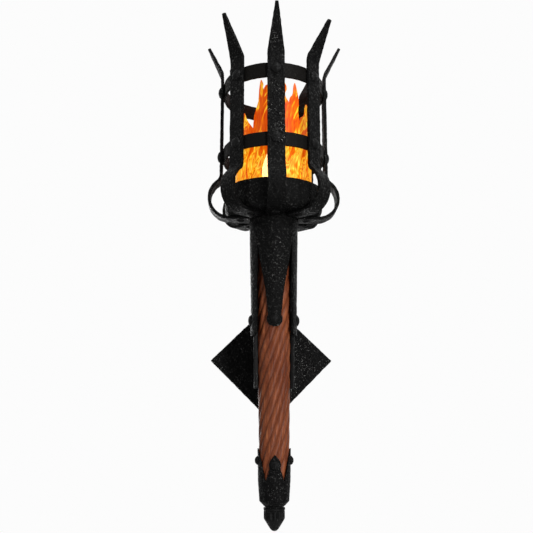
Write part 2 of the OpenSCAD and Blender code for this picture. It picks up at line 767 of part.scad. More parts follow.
module ferrule() {
    notch = front_petal_tip + petal_l;
    color(iron) on_torch() difference() {
        intersection() {
            rotate_extrude($fn = 96) polygon([
                [0, -ferrule_bottom], [finial_r - 0.6, -ferrule_bottom], [ferrule_end_r, chamfer_h - ferrule_bottom],
                [ferrule_notch_r, -notch], [ferrule_out_r, -side_petal_tip],
                [ferrule_in_r, -side_petal_tip], [wood_r(-handle_bottom) + slip, -handle_bottom - slip],
                [tenon_r + slip, -handle_bottom - slip], [tenon_r + slip, -handle_bottom - tenon_l - slip],
                [0, -handle_bottom - tenon_l - slip]]);
            union() {
                translate([-far / 2, -far / 2, -far - notch]) cube([far, far, far]);
                for (a = [0, 180]) at(a) outward(far) petal_outline(front_petal, front_petal_tip, notch);
                for (a = [90, 270]) at(a) outward(far) petal_outline(side_petal, side_petal_tip, notch);
            }
        }
        translate([0, 0, -far]) cylinder(r = tube_hole_r, h = far);
        for (a = [0, 180]) at(a) translate([0, 0, -front_rivet_d]) radial(petal_pin_r + slip, core_r, far / 2);
        for (a = [90, 270]) at(a) translate([0, 0, -side_rivet_d]) radial(petal_pin_r + slip, core_r, far / 2);
    }
}

module ferrule_rivets() {
    seat = ferrule_out_r - slip;
    color(worn_iron) on_torch() {
        for (a = [0, 180]) at(a) translate([0, 0, -front_rivet_d]) {
            dome_on_round(small_rivet_r, small_rivet_h, seat);
            radial(petal_pin_r, petal_pin_in + 1, seat + 1);
        }
        for (a = [90, 270]) at(a) translate([0, 0, -side_rivet_d]) {
            dome_on_round(small_rivet_r, small_rivet_h, seat);
            radial(petal_pin_r, petal_pin_in + 1, seat + 1);
        }
    }
}

module finial() {
    neck = 1.8;
    barrel_z = finial_l * 0.48;
    barrel_r = finial_r - 0.4;
    color(iron) on_torch() translate([0, 0, -ferrule_bottom]) difference() {
        rotate_extrude() polygon(concat(
            [[0, 0], [finial_r - 2, 0], [finial_r - 2, -neck], [finial_r, -neck - 0.5], [finial_r, -neck - 3],
            [barrel_r - 0.8, -neck - 3.6], [barrel_r, -neck - 4.4]],
            // A barrel, a cone and a blunt round tip, in shares of radius and length
            [for (p = [[1, 0.48], [0.95, 0.53], [0.52, 0.82], [0.38, 0.91], [0.22, 0.97], [0, 1]])
                [barrel_r * p[0], -finial_l * p[1]]]));
        translate([0, 0, -finial_l * 0.6 - 1]) cylinder(r = tube_hole_r, h = finial_l);
        for (i = [0:finial_flutes - 1]) at(i * 360 / finial_flutes)
            translate([0, -finial_r + 0.6, -barrel_z - 2]) cylinder(r = 1.4, h = barrel_z - neck - 3, $fn = 24);
    }
}

/* ---- the nodes ---- */

module strap_node(i) {
    color(iron) on_torch() cage_strap(i);
}

strap_node(0);  // cage_strap_front
strap_node(1);  // cage_strap_front_right
strap_node(2);  // cage_strap_right
strap_node(3);  // cage_strap_rear_right
strap_node(4);  // cage_strap_rear
strap_node(5);  // cage_strap_rear_left
strap_node(6);  // cage_strap_left
strap_node(7);  // cage_strap_front_left
top_ring();
middle_ring();
top_ring_rivets();
middle_ring_rivets();
bowl();
strap_foot_rivets();
flame_shade();
shade_seat_ring();
bulb_glass();
bulb_filament();
bulb_screw_base();
bulb_tip_contact();
lamp_holder_body();
lamp_holder_screw_shell();
lamp_holder_centre_contact();
clamp_nut();
clamp_washer();
centre_tube();
supply_leads();
socket_collar();
collar_rivets();
handle();
yoke();
bracket_arm();
arm_flange();
wall_plate();
ferrule();
ferrule_rivets();
finial();
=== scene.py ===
"""A wall torch sconce of hammered wrought iron, carved wood and a printed flame shade.

Lengths are in millimetres in the torch's own frame: its axis is +Z, its front is -Y, and its
origin is where the bracket arm's line meets the axis. piece() takes them to the row frame.
"""
import math

import bmesh
import bpy
from mathutils import Matrix, Vector, noise


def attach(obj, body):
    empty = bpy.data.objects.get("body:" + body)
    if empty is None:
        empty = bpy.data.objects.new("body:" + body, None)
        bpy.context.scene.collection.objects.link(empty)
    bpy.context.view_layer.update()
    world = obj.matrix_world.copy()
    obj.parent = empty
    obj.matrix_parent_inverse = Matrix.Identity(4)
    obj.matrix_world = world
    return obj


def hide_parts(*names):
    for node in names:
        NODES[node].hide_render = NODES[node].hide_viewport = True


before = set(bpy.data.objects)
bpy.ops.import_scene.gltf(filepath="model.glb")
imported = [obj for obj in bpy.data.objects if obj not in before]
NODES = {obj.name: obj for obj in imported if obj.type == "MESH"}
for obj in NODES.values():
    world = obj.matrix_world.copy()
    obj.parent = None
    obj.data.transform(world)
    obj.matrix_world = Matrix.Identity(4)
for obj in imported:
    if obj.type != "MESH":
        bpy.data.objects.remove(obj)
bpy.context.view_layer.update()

# ---- sizes, as in the part's source ----

MM = 0.001
LEAN = math.radians(10)
WALL_GAP = 88
SLIP = 0.1          # clearance of what is only slid together
SEAT_GAP = 0.3      # clearance under what is lifted or turned

HANDLE_TOP, HANDLE_BOTTOM = 190, 186
HANDLE_TOP_R, HANDLE_BOTTOM_R = 26.4, 20.9
RIDGES = 12
GROOVE = 1.5
SPIRAL_LEAD = 310
TENON_R, TENON_L = 18.6, 21

STRAP_NAMES = ("front", "front_right", "right", "rear_right", "rear", "rear_left", "left", "front_left")
STRAPS = len(STRAP_NAMES)
STRAP_TURN = 2 * math.pi / STRAPS
STRAP_W, STRAP_T = 25.4, 4.5
CAGE_R = 82
STRAP_R, RING_R = CAGE_R - STRAP_T / 2, CAGE_R - STRAP_T
RING_T = 3.6
TOP_RING_H, MIDDLE_RING_H = 23, 21
TOP_RING_UP, MIDDLE_RING_UP, SPIKE_BEND_UP = 163, 56, 191    # above the bowl's rim
SPIKE_TIP_R = (106, 113, 106, 108, 110, 96, 102, 109)
SPIKE_TIP_UP = (64, 53, 53, 56, 54, 50, 48, 61)
SPIKE_TIP_W = 4.6
SPIKE_BEND_R = 22
BOW_R, BOW_LOW, BOW_HIGH = 97, 31, 32.5
BOW_LIFT = math.radians(51)
NECK_BEND_R = 12
RIVET_R, RIVET_H = 8.3, 4.4
RIVET_SINK = 0.3     # how far a head sits in the hammered iron
SHANK_R, INNER_HEAD_R = 3, 5.1

BOWL_R, BOWL_H, BOWL_WALL, BOWL_CORNER = 73.2, 40.4, 2.5, 12
FOOT_RIVET_RING = 50
SHADE_R, SHADE_WALL, SHADE_H = 58, 1, 118
TONGUE_UP = (78, 86, 76, 50, 60, 44, 40, 46, 38, 42, 55, 48, 32)
TONGUE_AT = (-21, 3, 31, 57, 87, 114, 142, 168, 197, 223, 251, 278, 308)
VALLEY_UP = (62, 42, 15, 22, 26, 12, 18, 10, 16, 8, 22, 14, 3)
VALLEY_AT = (-17, 21, 40, 73, 101, 128, 155, 183, 210, 237, 264, 292, 326)
# A tongue's edges from valley to tip, in shares of its height and of its half width. Its left edge is hollow and
# its right one swells, except that the leaning tongues swell on the left and are straight on the right.
HOLLOW_EDGE = ((0, 1), (0.1, 0.97), (0.26, 0.86), (0.38, 0.5), (0.5, 0.35), (0.64, 0.3), (0.8, 0.25), (0.94, 0.14),
             (1, 0.04))
SWELLING_EDGE = ((0, 1), (0.15, 0.75), (0.27, 0.62), (0.36, 0.68), (0.46, 0.8), (0.58, 0.78), (0.7, 0.64),
                 (0.84, 0.4), (0.95, 0.2), (1, 0.04))
STRAIGHT_EDGE = ((0, 1), (0.4, 0.52), (0.7, 0.24), (1, 0.04))
LEANING_TONGUES = (4, 9, 12)

COLLAR_TOP_R, COLLAR_LOW_R, COLLAR_WALL = 36.2, 33.6, 2.9
NOTCH_TOP, NOTCH_R = 150, COLLAR_TOP_R - 0.5
COLLAR_RIVET_Z = 38
BOSS_R, BOSS_NECK = 11.4, 0.8    # the neck is a share of the boss
TAPER_Z = COLLAR_RIVET_Z + 2 * BOSS_R
ROOT_H, ROOT_R = 3, COLLAR_TOP_R - 0.6
SIDE_TONGUE_Z, SIDE_TONGUE_W = 15, 20.5
SIDE_RIVET_R, BOSS_RIVET_R, COLLAR_RIVET_H = 8.4, 7.2, 3.9
SMALL_RIVET_R, SMALL_RIVET_H = 6.2, 3.9

YOKE_W, YOKE_T, YOKE_UP, YOKE_DOWN, HOOP_H = 12.7, 5.8, 50, 59, 26
ARM_R, ARM_WALL = 11, 2
FLANGE_R, FLANGE_T = 24, 4
PLATE_SIDE, PLATE_T = 134, 5
BOX_SCREW_SPACING, BOX_SCREW_R = 88.9, 2.4

FERRULE_WALL = 1.7
# Half widths of the petals at shares of their length below the tip
FRONT_PETAL_W = 13.1
FRONT_PETAL = ((1, FRONT_PETAL_W), (0.51, 7.6), (0.33, 8.4), (0.22, 7.1), (0.13, 4.7), (0, 0.8))
SIDE_PETAL = ((0.7, 16.2), (0.35, 12.6), (0.2, 8.6), (0.1, 5.2), (0, 0.8))
FRONT_PETAL_TIP, SIDE_PETAL_TIP, PETAL_L = 149, 141, 35
FERRULE_END_R, FERRULE_BOTTOM, CHAMFER_H = 20.7, 217, 6.5
FINIAL_R, FINIAL_L, FINIAL_FLUTES, FLUTE_DEPTH = 14.9, 33, 12, 2.1
FERRULE_TIP_R = FINIAL_R - 0.6

TUBE_R, WASHER_T, NUT_H = 5, 1.6, 5
SHELL_FLOOR_UP, CONTACT_H = 14, 2    # in the lamp holder
BULB_R, BULB_H, BULB_BASE_R, BULB_BASE_L = 17.5, 78, 5.95, 16

# Heights along the torch axis
FOOT_TOP = HANDLE_TOP + COLLAR_WALL + SLIP
FOOT_Z = FOOT_TOP - STRAP_T / 2
FLOOR_Z = FOOT_TOP + BOWL_WALL
RIM_Z = FOOT_TOP + BOWL_H
BOW_Z = FOOT_Z + BOW_LOW
TOP_RING_Z = RIM_Z + TOP_RING_UP
MIDDLE_RING_Z = RIM_Z + MIDDLE_RING_UP
SPIKE_BEND_Z = RIM_Z + SPIKE_BEND_UP
SHADE_Z = FLOOR_Z + SEAT_GAP
HOLDER_Z = FLOOR_Z + WASHER_T + NUT_H
GLASS_Z = HOLDER_Z + SHELL_FLOOR_UP + 2 * CONTACT_H + SEAT_GAP + BULB_BASE_L

TORCH = Matrix.Translation((0, -WALL_GAP * MM, 0)) @ Matrix.Rotation(LEAN, 4, "X") @ Matrix.Scale(MM, 4)
WALL = Matrix.Scale(MM, 4)


def wood_r(z):
    """Radius of the fluted wood at a height."""
    share = (z + HANDLE_BOTTOM) / (HANDLE_TOP + HANDLE_BOTTOM)
    return HANDLE_BOTTOM_R + (HANDLE_TOP_R - HANDLE_BOTTOM_R) * share


# ---- shaping ----


def blend_points(points, at):
    """The value at a place, on straight lines between (place, value) points in rising order."""
    if at <= points[0][0]:
        return points[0][1]
    for (a, low), (b, high) in zip(points, points[1:]):
        if at <= b:
            return low + (high - low) * (at - a) / (b - a)
    return points[-1][1]


def turned(profile, steps=128, spacing=2.5, closed=True):
    """A profile of (radius, height) points turned round the torch axis, as on a lathe."""
    bm = bmesh.new()
    verts = [bm.verts.new((r, 0, z)) for r, z in profile]
    ends = verts[1:] + verts[:1] if closed else verts[1:]
    for edge in [bm.edges.new(pair) for pair in zip(verts, ends)]:
        cuts = int(edge.calc_length() / spacing)
        if cuts:
            bmesh.ops.subdivide_edges(bm, edges=[edge], cuts=cuts)
    bmesh.ops.spin(bm, geom=bm.verts[:] + bm.edges[:], cent=(0, 0, 0), axis=(0, 0, 1),
                   angle=2 * math.pi, steps=steps, use_merge=True)
    tidy_shell(bm)
    return bm


def tidy_shell(bm):
    """Merges what meets and turns every face outwards."""
    bmesh.ops.remove_doubles(bm, verts=bm.verts, dist=0.01)
    bmesh.ops.dissolve_degenerate(bm, edges=bm.edges, dist=0.001)
    bmesh.ops.recalc_face_normals(bm, faces=bm.faces)


def soften(bm, width, segments=2, least=35):
    """Rounds the sharp edges, as filing and scale do. Inside a slot's narrow end it leaves them."""
    sharp = [e for e in bm.edges if len(e.link_faces) == 2
             and math.radians(least) < e.calc_face_angle(0) < math.radians(140)]
    bmesh.ops.bevel(bm, geom=sharp, offset=width, offset_type="OFFSET", segments=segments, profile=0.5,
                    affect="EDGES", material=-1, clamp_overlap=True)


def hammer(bm, blow=7.0, depth=0.45, seed=0):
    """Dents every face with overlapping round blows, and leaves a finer scale between them."""
    bm.normal_update()
    shift = Vector((seed * 3.1, seed * 5.7, seed * 7.3))
    for vert in bm.verts:
        place = vert.co / blow + shift
        dent = min(1, noise.voronoi(place)[0][0] * 1.25) ** 2
        scale = noise.noise(vert.co / (blow * 0.4) + shift)
        vert.co += vert.normal * depth * (dent - 0.45 + 0.5 * scale)


def thicken(bm, wall):
    """Gives an outer skin its wall, on the side of the torch's axis."""
    bmesh.ops.recalc_face_normals(bm, faces=bm.faces)
    if sum(f.normal.xy.dot(f.calc_center_median().xy) * f.calc_area() for f in bm.faces) < 0:
        bmesh.ops.reverse_faces(bm, faces=bm.faces)
    bmesh.ops.solidify(bm, geom=bm.faces[:], thickness=wall)
    bmesh.ops.recalc_face_normals(bm, faces=bm.faces)


def wrapped(bm, rows, columns, skin, edge, turn):
    """A sheet tongue laid on a round form: skin(t) is (radius, height) and edge(t) half its width."""
    grid = bmesh.ops.create_grid(bm, x_segments=columns, y_segments=rows, size=1)
    for vert in grid["verts"]:
        t = (vert.co.y + 1) / 2
        radius, height = skin(t)
        angle = math.asin(max(-1, min(1, vert.co.x * edge(t) / max(radius, 0.01)))) + turn
        vert.co = (radius * math.sin(angle), -radius * math.cos(angle), height)


def drawn_on(bm, edges):
    """Extrudes a ring of edges, and gives the new ring's corners and edges."""
    made = bmesh.ops.extrude_edge_only(bm, edges=edges)["geom"]
    verts = [g for g in made if isinstance(g, bmesh.types.BMVert)]
    ends = set(verts)
    return verts, [g for g in made if isinstance(g, bmesh.types.BMEdge) and ends.issuperset(g.verts)]


def round_copies(bm, count):
    """Copies what is in the mesh round the torch axis."""
    first = bm.verts[:] + bm.edges[:] + bm.faces[:]
    for i in range(1, count):
        made = bmesh.ops.duplicate(bm, geom=first)["geom"]
        moved = [g for g in made if isinstance(g, bmesh.types.BMVert)]
        bmesh.ops.rotate(bm, verts=moved, cent=(0, 0, 0), matrix=Matrix.Rotation(2 * math.pi * i / count, 3, "Z"))


def take_in(bm, part):
    """Adds a finished shape to a mesh, and lets go of it."""
    mesh = bpy.data.meshes.new("part")
    part.to_mesh(mesh)
    part.free()
    bm.from_mesh(mesh)
    bpy.data.meshes.remove(mesh)


def piece(name, bm, material, nodes, body="torch", place=TORCH, smooth=38, inside=None):
    """Puts a finished shape into the row frame as a piece that stands for its CAD nodes. The faces above the bowl's
    rim that look in at the torch's axis, towards the lit shade, may take a second material: painted glow of the
    flame."""
    if inside:
        bm.normal_update()
        for face in bm.faces:
            centre = face.calc_center_median()
            inwards = -face.normal.xy.dot(centre.xy.normalized())
            # Faces turned to the lit shade take the painted flame glow
            face.material_index = int(inwards > 0.7 and centre.z > RIM_Z)
    bm.transform(place)
    mesh = bpy.data.meshes.new(name)
    bm.to_mesh(mesh)
    bm.free()
    mesh.shade_smooth()
    mesh.set_sharp_from_angle(angle=math.radians(smooth))
    mesh.materials.append(material)
    if inside:
        mesh.materials.append(inside)
    obj = bpy.data.objects.new(name, mesh)
    bpy.context.scene.collection.objects.link(obj)
    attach(obj, body)
    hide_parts(*nodes)
    return obj


# ---- materials ----


def colour(code):
    """An sRGB hex value as linear red, green, blue and alpha."""
    parts = [int(code[i:i + 2], 16) / 255 for i in (1, 3, 5)]
    return [p / 12.92 if p <= 0.04045 else ((p + 0.055) / 1.055) ** 2.4 for p in parts] + [1]


def finish(name):
    """A new material, its nodes and its Principled shader."""
    made = bpy.data.materials.new(name)
    made.use_nodes = True
    return made, made.node_tree.nodes["Principled BSDF"]


def add(made, kind, links=(), values=(), stops=(), **settings):
    """Adds a node to a material: its settings, its uniform values, its links from sockets and a ramp's stops."""
    node = made.node_tree.nodes.new(kind)
    for key, value in settings.items():
        setattr(node, key, value)
    for key, value in dict(values).items():
        node.inputs[key].default_value = value
    for key, socket in dict(links).items():
        made.node_tree.links.new(socket, node.inputs[key])
    for i, (at, code) in enumerate(stops):
        element = node.color_ramp.elements[i] if i < 2 else node.color_ramp.elements.new(at)
        element.position, element.color = at, colour(code)
    return node


def drive(made, shader, **sockets):
    """Links sockets to a shader's inputs, named with underscores for spaces."""
    for name, socket in sockets.items():
        made.node_tree.links.new(socket, shader.inputs[name.replace("_", " ")])


def torch_space(made, stretch=(1, 1, 1)):
    """Object coordinates turned into the torch's frame, in metres, so that patterns follow its axis."""
    coordinates = add(made, "ShaderNodeTexCoord").outputs["Object"]
    back = Matrix.Rotation(-LEAN, 3, "X") @ Vector((0, WALL_GAP * MM, 0))
    upright = add(made, "ShaderNodeMapping", {"Vector": coordinates}, {"Location": back, "Rotation": (-LEAN, 0, 0)})
    return add(made, "ShaderNodeMapping", {"Vector": upright.outputs["Vector"]}, {"Scale": stretch}).outputs["Vector"]


def hammered_iron(name, code, pitted, polish, bare="#2e2e2d", gloss=0.03):
    """Wrought iron blackened in oil: nearly black, with fine glints where the scale is burnished to bare metal."""
    made, shader = finish(name)
    place = torch_space(made)
    # Real scale is far finer, and its grains are drawn as coarse as they need to show. Sizes are in metres
    grain, blow, patch = 0.0026, 0.009, 0.03
    scale = add(made, "ShaderNodeTexNoise", {"Vector": place},
                {"Scale": 1 / grain, "Detail": 2, "Roughness": 0.6}).outputs["Fac"]
    blows = add(made, "ShaderNodeTexVoronoi", {"Vector": place}, {"Scale": 1 / blow, "Smoothness": 0.8},
                feature="SMOOTH_F1").outputs["Distance"]
    patches = add(made, "ShaderNodeTexNoise", {"Vector": place}, {"Scale": 1 / patch, "Detail": 1}).outputs["Fac"]
    grains = add(made, "ShaderNodeMapRange", {"Value": scale}, {"From Min": 0.56, "From Max": 0.67}).outputs["Result"]
    worn = add(made, "ShaderNodeMapRange", {"Value": patches},
               {"From Min": 0.38, "From Max": 0.62, "To Min": 0.3, "To Max": 1}).outputs["Result"]
    glints = add(made, "ShaderNodeMath", {0: grains, 1: worn}, operation="MULTIPLY").outputs["Value"]
    burnished = add(made, "ShaderNodeMix", {0: glints}, {6: colour(code), 7: colour(bare)}, data_type="RGBA")
    rough = add(made, "ShaderNodeMapRange", {"Value": glints}, {"To Min": 0.5, "To Max": polish})
    relief = add(made, "ShaderNodeMath", {0: scale, 1: blows}, operation="ADD")
    bump = add(made, "ShaderNodeBump", {"Height": relief.outputs["Value"]}, {"Strength": pitted, "Distance": 0.002})
    shader.inputs["Specular IOR Level"].default_value = gloss
    drive(made, shader, Base_Color=burnished.outputs[2], Metallic=glints, Roughness=rough.outputs["Result"],
          Normal=bump.outputs["Normal"])
    return made


def carved_wood():
    """Stained beech, carved into rope-like flutes: oiled, with straight grain and darker hollows."""
    made, shader = finish("stained_beech_carved")
    # Beech has finer pores than a picture shows, so the grain is drawn coarser. The figure's bands are 20 mm wide
    pore, band = 0.0022, 0.02
    grain = add(made, "ShaderNodeTexNoise", {"Vector": torch_space(made, (1, 1, 0.06))},
                {"Scale": 1 / pore, "Detail": 4, "Roughness": 0.6, "Distortion": 0.4}).outputs["Fac"]
    figure = add(made, "ShaderNodeTexNoise", {"Vector": torch_space(made, (1, 1, 0.25))},
                 {"Scale": 1 / band, "Detail": 2}).outputs["Fac"]
    depth = add(made, "ShaderNodeAttribute", attribute_name="groove").outputs["Fac"]
    wood = add(made, "ShaderNodeValToRGB", {"Fac": grain},
               stops=((0.3, "#4c2718"), (0.75, "#8e5736"), (0.52, "#6f3c25"))).outputs["Color"]
    tone = add(made, "ShaderNodeValToRGB", {"Fac": figure},
               stops=((0.35, "#b9a397"), (0.65, "#ffffff"))).outputs["Color"]
    toned = add(made, "ShaderNodeMix", {6: wood, 7: tone}, {0: 1}, data_type="RGBA", blend_type="MULTIPLY")
    hollows = add(made, "ShaderNodeMapRange", {"Value": depth}, {"From Min": 0.05, "To Max": 0.85})
    stained = add(made, "ShaderNodeMix", {0: hollows.outputs["Result"], 6: toned.outputs[2]},
                  {7: colour("#4a2210")}, data_type="RGBA")
    bump = add(made, "ShaderNodeBump", {"Height": grain}, {"Strength": 0.3, "Distance": 0.0006})
    shader.inputs["Roughness"].default_value = 0.4
    shader.inputs["Specular IOR Level"].default_value = 0.09
    drive(made, shader, Base_Color=stained.outputs[2], Normal=bump.outputs["Normal"])
    return made


def flame_sheet():
    """Polycarbonate sheet printed with flames and lit from inside: it glows orange, with yellow licks low down and
    salmon tips, and lets some of the bulb through near the bowl."""
    made, shader = finish("printed_polycarbonate_sheet")
    place = torch_space(made)
    height = add(made, "ShaderNodeSeparateXYZ", {"Vector": place}).outputs["Z"]
    rise = add(made, "ShaderNodeMapRange", {"Value": height},
               {"From Min": RIM_Z * MM, "From Max": (SHADE_Z + SHADE_H + 60) * MM}).outputs["Result"]
    # The printed licks lean 15 degrees to the right. They are 14 mm apart and 50 mm long, with finer strokes in
    # them, and the fibres over them are 2 mm wide and 20 mm long
    lick, lick_stretch, fibre = 0.014, 0.28, 0.002
    lean = add(made, "ShaderNodeMath", {0: height}, {1: -math.tan(math.radians(15)) / (SHADE_R * MM)},
               operation="MULTIPLY").outputs["Value"]
    leaning = add(made, "ShaderNodeVectorRotate", {"Vector": place, "Angle": lean}, rotation_type="Z_AXIS")
    drawn = add(made, "ShaderNodeMapping", {"Vector": leaning.outputs["Vector"]}, {"Scale": (1, 1, lick_stretch)})
    licks = add(made, "ShaderNodeTexNoise", {"Vector": drawn.outputs["Vector"]},
                {"Scale": 1 / lick, "Detail": 2, "Roughness": 0.55, "Distortion": 1.5}).outputs["Fac"]
    fibres = add(made, "ShaderNodeTexNoise", {"Vector": torch_space(made, (1, 1, 0.1))},
                 {"Scale": 1 / fibre, "Detail": 2}).outputs["Fac"]
    cooler = add(made, "ShaderNodeMapRange", {"Value": rise},
                 {"From Min": 0.25, "From Max": 0.5, "To Min": 0.04, "To Max": -0.1}).outputs["Result"]
    heat = add(made, "ShaderNodeMath", {0: licks, 1: cooler}, operation="ADD").outputs["Value"]
    body = add(made, "ShaderNodeValToRGB", {"Fac": heat},
               stops=((0.34, "#d95c00"), (0.72, "#f28a0a"), (0.42, "#ea7206"), (0.455, "#ffae10"), (0.48, "#fff04a"),
                      (0.515, "#ffc81c"), (0.545, "#d85e00"), (0.575, "#ffb010"),
                      (0.615, "#fff25a"))).outputs["Color"]
    streaks = add(made, "ShaderNodeValToRGB", {"Fac": fibres},
                  stops=((0.35, "#e8a888"), (0.65, "#ffffff"))).outputs["Color"]
    flame = add(made, "ShaderNodeMix", {6: body, 7: streaks}, {0: 1}, data_type="RGBA", blend_type="MULTIPLY")
    up = add(made, "ShaderNodeAttribute", attribute_name="up_tongue").outputs["Fac"]
    faded = add(made, "ShaderNodeMapRange", {"Value": up}, {"From Min": 0.4, "From Max": 0.9, "To Max": 0.85})
    printed = add(made, "ShaderNodeMix", {0: faded.outputs["Result"], 6: flame.outputs[2]}, {7: colour("#f2714a")},
                  data_type="RGBA").outputs[2]
    glow = add(made, "ShaderNodeMapRange", {"Value": up}, {"To Min": 0.88, "To Max": 0.8}).outputs["Result"]
    lit = add(made, "ShaderNodeMix", {6: printed}, {0: 0.6, 7: colour("#000000")}, data_type="RGBA").outputs[2]
    cover = add(made, "ShaderNodeMapRange", {"Value": rise},
                {"From Min": 0.3, "From Max": 0.55, "To Min": 0.74, "To Max": 0.95}).outputs["Result"]
    shader.inputs["Roughness"].default_value = 0.45
    shader.inputs["IOR"].default_value = 1.58
    shader.inputs["Specular IOR Level"].default_value = 0.1
    drive(made, shader, Base_Color=lit, Emission_Color=printed, Emission_Strength=glow, Alpha=cover)
    return made


def plain_finish(name, code, rough, metallic=0.0, cloud=4):
    """A smooth finish whose roughness drifts a little, over cloud millimetres."""
    made, shader = finish(name)
    shader.inputs["Base Color"].default_value = colour(code)
    shader.inputs["Metallic"].default_value = metallic
    drift = add(made, "ShaderNodeTexNoise", {"Vector": torch_space(made)}, {"Scale": 1 / (cloud * MM), "Detail": 3})
    uneven = add(made, "ShaderNodeMapRange", {"Value": drift.outputs["Fac"]},
                 {"To Min": rough - 0.08, "To Max": rough + 0.08})
    drive(made, shader, Roughness=uneven.outputs["Result"])
    return made


def lit_glass():
    """Frosted candle bulb glass, lit: warm white."""
    made, shader = finish("frosted_glass_lit")
    shader.inputs["Base Color"].default_value = colour("#fff1d6")
    shader.inputs["Roughness"].default_value = 0.3
    shader.inputs["Emission Color"].default_value = colour("#ffd9a0")
    shader.inputs["Emission Strength"].default_value = 20
    return made


def lit_filament():
    """LED filament rods behind their yellow phosphor, lit."""
    made, shader = finish("phosphor_rods_lit")
    shader.inputs["Base Color"].default_value = colour("#ffe3a8")
    shader.inputs["Emission Color"].default_value = colour("#ffd58a")
    shader.inputs["Emission Strength"].default_value = 6
    return made


# Forged and hammered iron glints over black. The rings are planished, so they are duller and smoother. The yoke and
# finial are filed, with a low even sheen. Hands wear the rivets' heads. Faces towards the lamp get a painted flame
# glow
IRON = hammered_iron("wrought_iron_oil_black", "#050505", 0.8, 0.18, bare="#2d2d2c")
SMOOTH_IRON = hammered_iron("wrought_iron_planished", "#090807", 0.3, 0.3, bare="#141311")
FILED_IRON = hammered_iron("wrought_iron_filed", "#080808", 0.2, 0.2, bare="#202020", gloss=0.05)
WORN_IRON = hammered_iron("wrought_iron_rivet_worn", "#070707", 0.3, 0.18, bare="#2a2a2a", gloss=0.05)
# Painted flame glow: a reddish-brown copy of the iron that stands in for the lamp's light on the faces looking in at
# it
FLAME_GLOW_IRON = hammered_iron("wrought_iron_painted_flame_glow", "#100603", 0.3, 0.3, bare="#170c08")
WOOD = carved_wood()
FLAME = flame_sheet()
GLASS = lit_glass()
FILAMENT = lit_filament()
# Turned brass has a warm shine, moulded phenolic a dull black sheen, and braided glass is a flat brown
BRASS = plain_finish("turned_brass", "#b8934c", 0.3, metallic=1.0)
PHENOLIC = plain_finish("moulded_phenolic_black", "#191818", 0.42)
INSULATION = plain_finish("glass_braid_insulation_brown", "#3d2b20", 0.7)


# ---- cage ----


def strap_line(tip_r, tip_up):
    """Middle line of a strap as (radius, height), from the spike's tip to the foot under the bowl."""
    lean = math.atan2(tip_r - STRAP_R, tip_up)
    run = SPIKE_BEND_R * math.tan(lean / 2)
    high = (BOW_R - BOW_HIGH, BOW_Z)
    low = (BOW_R - BOW_LOW, BOW_Z)
    bow_start = (high[0] + BOW_HIGH * math.cos(BOW_LIFT), high[1] + BOW_HIGH * math.sin(BOW_LIFT))
    neck_z = bow_start[1] + (bow_start[0] - STRAP_R) / math.tan(BOW_LIFT)
    neck_run = NECK_BEND_R * math.tan(BOW_LIFT / 2)

    def arc(centre, radius, first, last, count):
        turns = [first + (last - first) * i / count for i in range(count + 1)]
        return [(centre[0] + radius * math.cos(a), centre[1] + radius * math.sin(a)) for a in turns]

    half = math.pi / 2
    return ([(tip_r, SPIKE_BEND_Z + tip_up)]
            + arc((STRAP_R + SPIKE_BEND_R, SPIKE_BEND_Z - run), SPIKE_BEND_R, math.pi - lean, math.pi, 6)
            + arc((STRAP_R + NECK_BEND_R, neck_z + neck_run), NECK_BEND_R, math.pi, math.pi + BOW_LIFT, 6)
            + arc(high, BOW_HIGH, BOW_LIFT, 0, 12)
            + arc(low, BOW_LOW, -0.15, -half, 14)
            + [(COLLAR_TOP_R + 2 * SLIP, FOOT_Z)])


def even_steps(line, spacing):
    """Points, tangents and lengths at even steps along a line."""
    runs = [math.dist(a, b) for a, b in zip(line, line[1:])]
    total = sum(runs)
    count = int(total / spacing)
    out = []
    for i in range(count + 1):
        left = total * i / count
        for (a, b), run in zip(zip(line, line[1:]), runs):
            if left <= run or b is line[-1]:
                share = min(1, left / run)
                point = Vector((a[0] + (b[0] - a[0]) * share, a[1] + (b[1] - a[1]) * share))
                break
            left -= run
        out.append(point)
    return out, total


def strap(index):
    """One forged strap: a flat bar drawn to a spike, bent to its line and hammered."""
    line = strap_line(SPIKE_TIP_R[index], SPIKE_TIP_UP[index])
    points, length = even_steps(line, 2.2)
    last = len(points) - 1
    taper = math.dist(line[0], line[1]) + 4
    bm = bmesh.new()
    bar = bmesh.ops.create_grid(bm, x_segments=12, y_segments=last, size=1)["verts"]
    for vert in bar:
        row = round((vert.co.y + 1) / 2 * last)
        here = points[row]
        way = (points[min(row + 2, last)] - points[max(row - 2, 0)]).normalized()
        outward = Vector((-way.y, way.x))
        along = length * row / last
        half = blend_points(((0, SPIKE_TIP_W / 2), (taper, STRAP_W / 2), (length, STRAP_W / 2)), along)
        r, z = here + outward * (STRAP_T / 2)
        vert.co = (vert.co.x * half, -r, z)
    thicken(bm, STRAP_T)
    soften(bm, 0.9)
    hammer(bm, seed=index + 1)
    bmesh.ops.rotate(bm, verts=bm.verts[:], cent=(0, 0, 0), matrix=Matrix.Rotation(STRAP_TURN * index, 3, "Z"))
    return bm


for number, side in enumerate(STRAP_NAMES):
    piece("forged_strap_" + side, strap(number), IRON, ["cage_strap_" + side], inside=FLAME_GLOW_IRON)


def ring(middle, height, seed):
    """A flat bar bent into a ring inside the straps."""
    low, high = middle - height / 2, middle + height / 2
    bm = turned([(RING_R - RING_T, low), (RING_R, low), (RING_R, high), (RING_R - RING_T, high)], 192)
    soften(bm, 0.9)
    hammer(bm, depth=0.4, seed=seed)
    return bm


piece("top_ring_band", ring(TOP_RING_Z, TOP_RING_H, 11), SMOOTH_IRON, ["top_ring"], inside=FLAME_GLOW_IRON)
piece("middle_ring_band", ring(MIDDLE_RING_Z, MIDDLE_RING_H, 12), SMOOTH_IRON, ["middle_ring"], inside=FLAME_GLOW_IRON)


